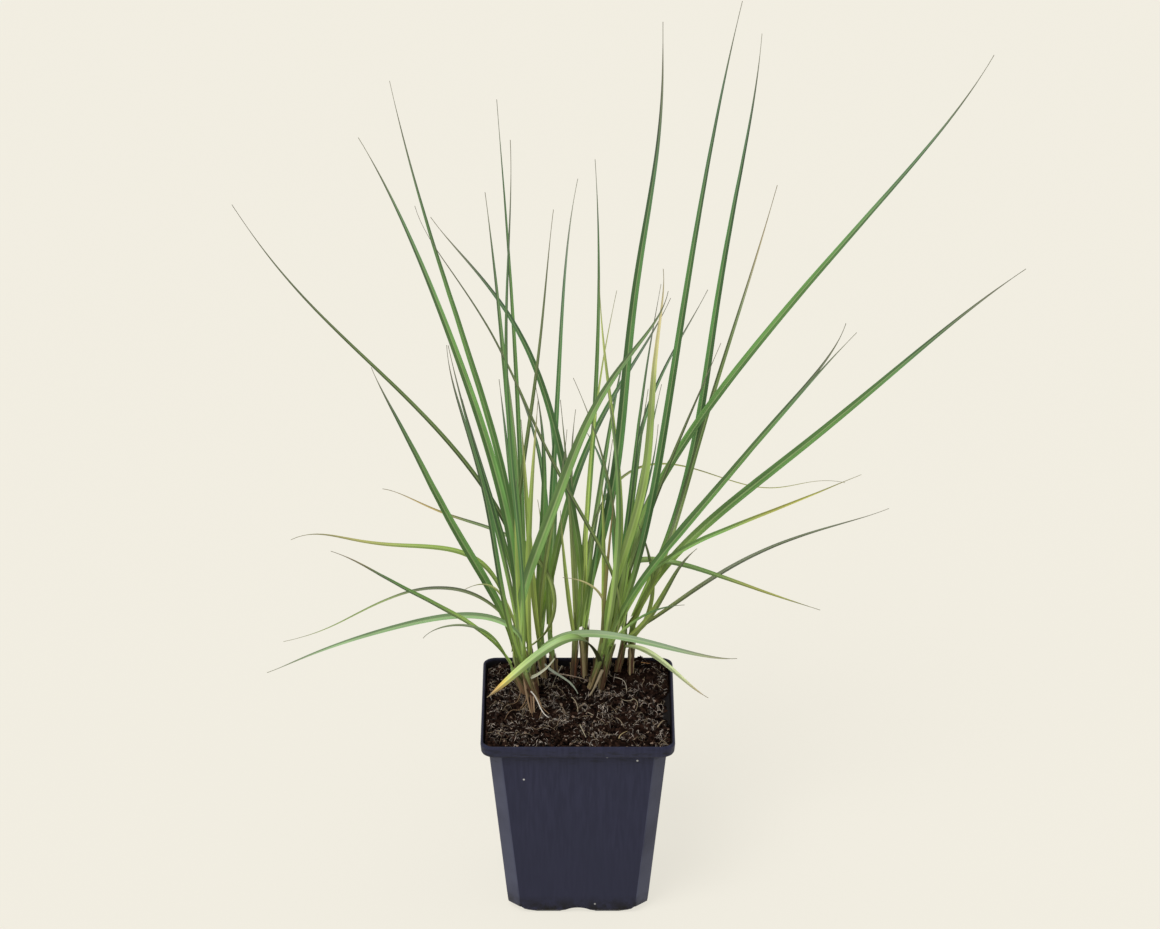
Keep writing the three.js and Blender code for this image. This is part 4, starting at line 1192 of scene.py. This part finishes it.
def soil_tree():
    """Roughens the ground with lumps and clods and strews crumbs over it."""
    tree, node, sizes = start_tree("crumbly soil", {
        "Lump height": "Float", "Clod height": "Float", "Crumbs per area": "Float",
        "Clods per area": "Float", "Seed": "Int", "Soil finish": "Material",
    })
    place = node("InputPosition")
    free = node("InputNamedAttribute", {"Name": "free"}, data_type="FLOAT")
    # Lumps 7 mm apart, clods 2.4 mm apart.
    height = None
    for spacing, label in ((0.007, "Lump height"), (0.0024, "Clod height")):
        noise = node("TexNoise", {"Vector": place, "Scale": 1 / spacing, "Detail": 2.0})
        part = node("Math", {0: noise, 1: 0.5}, operation="SUBTRACT")
        part = node("Math", {0: part, 1: sizes[label]}, operation="MULTIPLY")
        height = part if height is None else node("Math", {0: height, 1: part}, operation="ADD")
    lift = node("Math", {0: height, 1: free}, operation="MULTIPLY")
    ground = node("SetPosition", {
        "Geometry": sizes["Geometry"], "Offset": node("CombineXYZ", {"Z": lift})})
    ground = node("SetShadeSmooth", {"Geometry": ground, "Shade Smooth": True})
    open_ground = node("Compare", {"A": free, "B": 0.7}, operation="GREATER_THAN")
    whole = node("JoinGeometry", {"Geometry": ground})
    for label, faces, low, high, number in (
        ("Crumbs per area", 1, 0.0003, 0.0010, 1.0), ("Clods per area", 2, 0.0009, 0.0022, 2.0),
    ):
        seed = node("Math", {0: sizes["Seed"], 1: number}, operation="ADD")
        spots = node("DistributePointsOnFaces", {
            "Mesh": ground, "Selection": open_ground, "Density": sizes[label], "Seed": seed})
        size = node("RandomValue", {
            "Min": (low, low, low * 0.6), "Max": (high, high * 0.8, high * 0.7), "Seed": seed,
        }, data_type="FLOAT_VECTOR")
        turn = node("RandomValue", {
            "Max": (6.28, 6.28, 6.28), "Seed": seed}, data_type="FLOAT_VECTOR")
        strewn = node("InstanceOnPoints", {
            "Points": spots, "Scale": size, "Rotation": node("EulerToRotation", {"Euler": turn}),
            "Instance": node("MeshIcoSphere", {"Radius": 1.0, "Subdivisions": faces}),
        })
        real = node("RealizeInstances", {"Geometry": strewn})
        # Uneven by a share of their size, so that no two crumbs are alike.
        dent = node("TexNoise", {"Vector": place, "Scale": 1 / high, "Detail": 1.0})
        dented = node("VectorMath", {
            0: dent.outputs["Color"], 1: (0.5, 0.5, 0.5)}, operation="SUBTRACT")
        dented = node("VectorMath", {0: dented, "Scale": high * 1.4}, operation="SCALE")
        rough = node("SetPosition", {"Geometry": real, "Offset": dented})
        faceted = node("SetShadeSmooth", {"Geometry": rough, "Shade Smooth": False})
        feed(tree, whole, {"Geometry": faceted})
    return end_tree(tree, whole, {"Material": sizes["Soil finish"]})


def fibre_tree():
    """Curved threads that lie over the rough ground, some of them arching up from it."""
    tree, node, sizes = start_tree("strewn fibres", {
        "Fibres per area": "Float", "Longest": "Float", "Thickness": "Float", "Curl": "Float",
        "Seed": "Int", "Fibre finish": "Material", "Dark": "Color", "Pale": "Color",
        "Edge": "Float", "Points": "Int",
    })
    free = node("InputNamedAttribute", {"Name": "free"}, data_type="FLOAT")
    # They gather in patches some 9 mm wide.
    patches = node("TexNoise", {"Scale": 1 / 0.009, "Detail": 1.0})
    gathered = node("Math", {0: patches, 1: free}, operation="MULTIPLY")
    spots = node("DistributePointsOnFaces", {
        "Mesh": sizes["Geometry"], "Density": sizes["Fibres per area"], "Seed": sizes["Seed"],
        "Selection": node("Compare", {"A": gathered, "B": 0.46}, operation="GREATER_THAN"),
    })
    spots = node("StoreNamedAttribute", {
        "Geometry": spots, "Name": "pick",
        "Value": node("RandomValue", {"Seed": sizes["Seed"]}, data_type="FLOAT"),
    }, data_type="FLOAT", domain="POINT")
    # Straight lines of many lengths first, each with its own turn.
    line = node("ResampleCurve", {
        "Curve": node("CurvePrimitiveLine", {"Start": (-0.5, 0, 0), "End": (0.5, 0, 0)}),
        "Count": sizes["Points"]})
    shortest = node("Math", {0: sizes["Longest"], 1: 0.2}, operation="MULTIPLY")
    size = node("RandomValue", {
        "Min": shortest, "Max": sizes["Longest"], "Seed": 5}, data_type="FLOAT")
    turn = node("CombineXYZ", {
        "Z": node("RandomValue", {"Max": 6.28, "Seed": 6}, data_type="FLOAT")})
    laid = node("InstanceOnPoints", {
        "Points": spots, "Instance": line, "Scale": size,
        "Rotation": node("EulerToRotation", {"Euler": turn})})
    threads = node("RealizeInstances", {"Geometry": laid})
    own = node("InputNamedAttribute", {"Name": "pick"}, data_type="FLOAT")
    place = node("InputPosition")
    # A thread turns about every 5 mm.
    wander = node("TexNoise", {
        "Vector": place, "Scale": 1 / 0.005, "Detail": 1.0,
        "W": node("Math", {0: own, 1: 90.0}, operation="MULTIPLY"),
    }, noise_dimensions="4D")
    bent = node("VectorMath", {
        0: wander.outputs["Color"], 1: (0.5, 0.5, 0.5)}, operation="SUBTRACT")
    bent = node("VectorMath", {0: bent, "Scale": sizes["Curl"]}, operation="SCALE")
    moved = node("SeparateXYZ", {0: node("VectorMath", {0: place, 1: bent}, operation="ADD")})
    # The threads fall straight down on the ground, clear of the pot's walls.
    less = node("Math", {0: sizes["Edge"], 1: -1.0}, operation="MULTIPLY")
    kept = {axis: node("Clamp", {
        "Value": moved.outputs[axis], "Min": less, "Max": sizes["Edge"]}) for axis in "XY"}
    fall = node("Raycast", {
        "Target Geometry": sizes["Geometry"], "Ray Direction": (0, 0, -1), "Ray Length": 0.1,
        "Source Position": node("CombineXYZ", {**kept, "Z": 0.12})})
    # Each arches up by its own height, and is thickest in its middle.
    share = node("SplineParameter")
    arch = node("Math", {0: 1.0, 1: share}, operation="SUBTRACT")
    arch = node("Math", {0: share, 1: arch}, operation="MULTIPLY")
    rise = node("Math", {0: own, 1: 3.0}, operation="POWER")
    highest = node("Math", {0: sizes["Longest"], 1: 0.55}, operation="MULTIPLY")
    rise = node("Math", {0: rise, 1: highest}, operation="MULTIPLY")
    height = node("Math", {0: arch, 1: rise, 2: 0.0001}, operation="MULTIPLY_ADD")
    landed = node("VectorMath", {
        0: fall.outputs["Hit Position"], 1: node("CombineXYZ", {"Z": height})}, operation="ADD")
    girth = node("Math", {0: arch, 1: 2.4, 2: 0.4}, operation="MULTIPLY_ADD")
    girth = node("Math", {0: girth, 1: sizes["Thickness"]}, operation="MULTIPLY")
    swept = node("CurveToMesh", {
        "Curve": node("SetPosition", {"Geometry": threads, "Position": landed}),
        "Profile Curve": node("CurvePrimitiveCircle", {"Resolution": 5, "Radius": 0.5}),
        "Scale": girth, "Fill Caps": True})
    lightness = node("Math", {0: own, 1: 2.2}, operation="POWER")
    tinted = node("StoreNamedAttribute", {
        "Geometry": swept, "Name": "tint",
        "Value": node("Mix", {
            "Factor": lightness, "A": sizes["Dark"], "B": sizes["Pale"]}, data_type="RGBA"),
    }, data_type="FLOAT_COLOR", domain="POINT")
    smooth = node("SetShadeSmooth", {"Geometry": tinted, "Shade Smooth": True})
    return end_tree(tree, smooth, {"Material": sizes["Fibre finish"]})


# Roots, straws and bits of leaf that show one by one: half their width, how flat they are,
# their colour, and the places that they pass, with the height of each above the ground.
THREADS = [
    (0.36, 1.0, "#eee6da", [(-22, 2, 8), (-19.5, -1, 5.5), (-16.5, -6, 3), (-10, -10, 0.3)]),
    (0.26, 1.0, "#c2b6a4",
     [(15, 29, 1.5), (18, 24, 2), (20, 23, 1.4), (23, 17, 1.2), (26, 11, 0.3)]),
    (0.30, 1.0, "#c0a893", [(-13, 24, 4.5), (-3, 24, 3), (8, 21, 1.5)]),
    (0.95, 0.9, "#a8987a", [(11.5, 15.5, 12), (9.5, 14, 6), (7.2, 13, 1.5), (5.5, 12, 0.2)]),
    (1.15, 0.22, "#aeb5a2", [(-15.5, 22, 8), (-10.5, 20, 7), (-5, 16, 4.5), (0, 13, 0.5)]),
    (1.60, 0.22, "#f8f5da", [(-24, 8, 8), (-17.5, 10, 14.5), (-11, 11.5, 18)]),
    (0.24, 1.0, "#a59c8a", [(-7.5, 24, 8), (-10.5, 20, 4.5), (-12.5, 14, 0.3)]),
    (0.25, 1.0, "#b5a68c", [(-3, 8, 0.8), (-1, 3, 1.2), (0, -3, 0.3)]),
    (0.25, 1.0, "#a99b85", [(3, -3, 0.6), (6, -8, 1.2), (10, -11, 0.3)]),
    (0.26, 1.0, "#b3a78d", [(1, -23, 0.8), (3, -31, 1.4), (5, -37, 0.3)]),
    (0.28, 1.0, "#9c8a74", [(18, -11, 0.6), (20, -16, 1), (21, -20, 0.3)]),
    (0.30, 1.0, "#a08d72", [(37, -23, 0.4), (39, -19, 1), (41, -13, 0.6)]),
    (0.30, 1.0, "#bda87c", [(19, -35, 0.5), (20, -31, 1.4), (23, -27, 0.6)]),
    (0.28, 1.0, "#9a7f5e", [(-28, -4, 0.4), (-26, -1, 1), (-23, 2, 2.5)]),
    (0.24, 1.0, "#a5906e", [(-41, 18, 0.5), (-36, 16, 1.0), (-31, 14, 0.6)]),
    (0.36, 0.5, "#c08a52", [(30, 36, 0.5), (34, 35, 0.8)]),
    (0.24, 1.0, "#8c6f4f", [(-27, 8, 2.5), (-29, 3, 0.8), (-33, 0, 0.3)]),
    (0.24, 1.0, "#a58865", [(-20, 4, 2), (-17, -2, 0.8), (-18, -7, 0.3)]),
    (0.22, 1.0, "#b3a58c", [(26, 11, 0.4), (23, 8, 1.0), (19, 9, 0.3)]),
    (0.22, 1.0, "#a39478", [(26, 11, 0.5), (28, 5, 0.9), (27, 0, 0.3)]),
    (0.28, 1.0, "#9b7d5c", [(-24, 5, 3), (-26, 0, 1.5), (-29, -4, 0.3)]),
    (0.85, 0.5, "#94795b", [(-25.0, 8, 10), (-24.0, 2.5, 4.5), (-22.0, -4, 0.1)]),
    (0.75, 0.5, "#826347", [(-23, 8, 10), (-22, 2.5, 4), (-21.2, -5, 0.1)]),
    (0.65, 0.5, "#a98b6c", [(-21, 8, 9), (-20.8, 2.5, 3.5), (-20.4, -4, 0.1)]),
    (0.30, 1.0, "#8a6a4b", [(-22, 3, 3), (-22, -2, 1.2), (-21, -7, 0.3)]),
    (0.28, 1.0, "#b08f6c", [(-19, 3, 3), (-16, -1, 1.2), (-13, -3, 0.3)]),
    (0.24, 1.0, "#8e7257", [(-27, -3, 0.4), (-31, -8, 1.0), (-34, -15, 0.3)]),
]

# Long fibres, and chips that are the same but short, over the finished soil.
FIBRES = {
    "soil_fibres": {
        "Fibres per area": 34000.0, "Longest": 0.009, "Thickness": 0.00017, "Curl": 0.006,
        "Seed": 4, "Points": 9, "Dark": rgba("#2b1e17"), "Pale": rgba("#b7a387"),
    },
    "soil_chips": {
        "Fibres per area": 190000.0, "Longest": 0.0030, "Thickness": 0.00024, "Curl": 0.0004,
        "Seed": 9, "Points": 4, "Dark": rgba("#140d0a"), "Pale": rgba("#cdbfb2"),
    },
}


def make_soil():
    soil = new_piece("potting_soil", ground_mesh())
    grow(soil, soil_tree(), {
        "Lump height": 0.0050, "Clod height": 0.0052, "Crumbs per area": 240000.0,
        "Clods per area": 26000.0, "Seed": 3, "Soil finish": potting_soil_finish(),
    })
    keep(soil, "soil_mix", "soil")
    finish, tree = fibre_finish(), fibre_tree()
    for name, sizes in FIBRES.items():
        fibres = new_piece(name, soil.data.copy())
        grow(fibres, tree, {"Fibre finish": finish, "Edge": 0.0422, **sizes})
        keep(fibres, "soil_mix")
    return soil


# The whole plant in its pot

set_the_stage()
make_pot()
ground = make_soil().data

soil_faces = [tuple(face.vertices) for face in ground.polygons]
soil_surface = BVHTree.FromPolygons([v.co[:] for v in ground.vertices], soil_faces)


def on_soil(x, y, above):
    """The point that is a height above the rough soil."""
    hit = soil_surface.ray_cast(Vector((x, y, 150)) * MM, Vector((0, 0, -1)))[0]
    return (x, y, hit.z / MM + above)


sweep = strand_tree()
sweep_sizes = {
    "Section points": 16, "Ripple": 0.5,
    "Leaf finish": grass_leaf_finish(), "Sheath finish": dry_sheath_finish(),
}
all_paths = lay_out_paths()
bend_clear(all_paths)
leaf_turns, looks = seeded_random(7), seeded_random(11)
for number, (name, *_) in enumerate(STEMS):
    stem, *leaves = [path for path in all_paths if path["owner"] == number]
    strands = stem_strands(stem, looks)
    strands += [leaf_strand(leaf, leaf_turns, looks) for leaf in leaves]
    piece = new_piece(f"grass_{name}", strands_mesh(f"grass_{name}", strands))
    grow(piece, sweep, {**sweep_sizes, "Seed": float(number)})
    keep(piece, "grass_leaf", f"stem_{name}")

threads = [thread_strand([on_soil(*p) for p in places], radius, flatness, colour)
           for radius, flatness, colour, places in THREADS]
roots = new_piece("root_threads", strands_mesh("root_threads", threads))
grow(roots, sweep, {**sweep_sizes, "Section points": 8, "Ripple": 0.0, "Seed": 0.0})
keep(roots, "soil_mix")
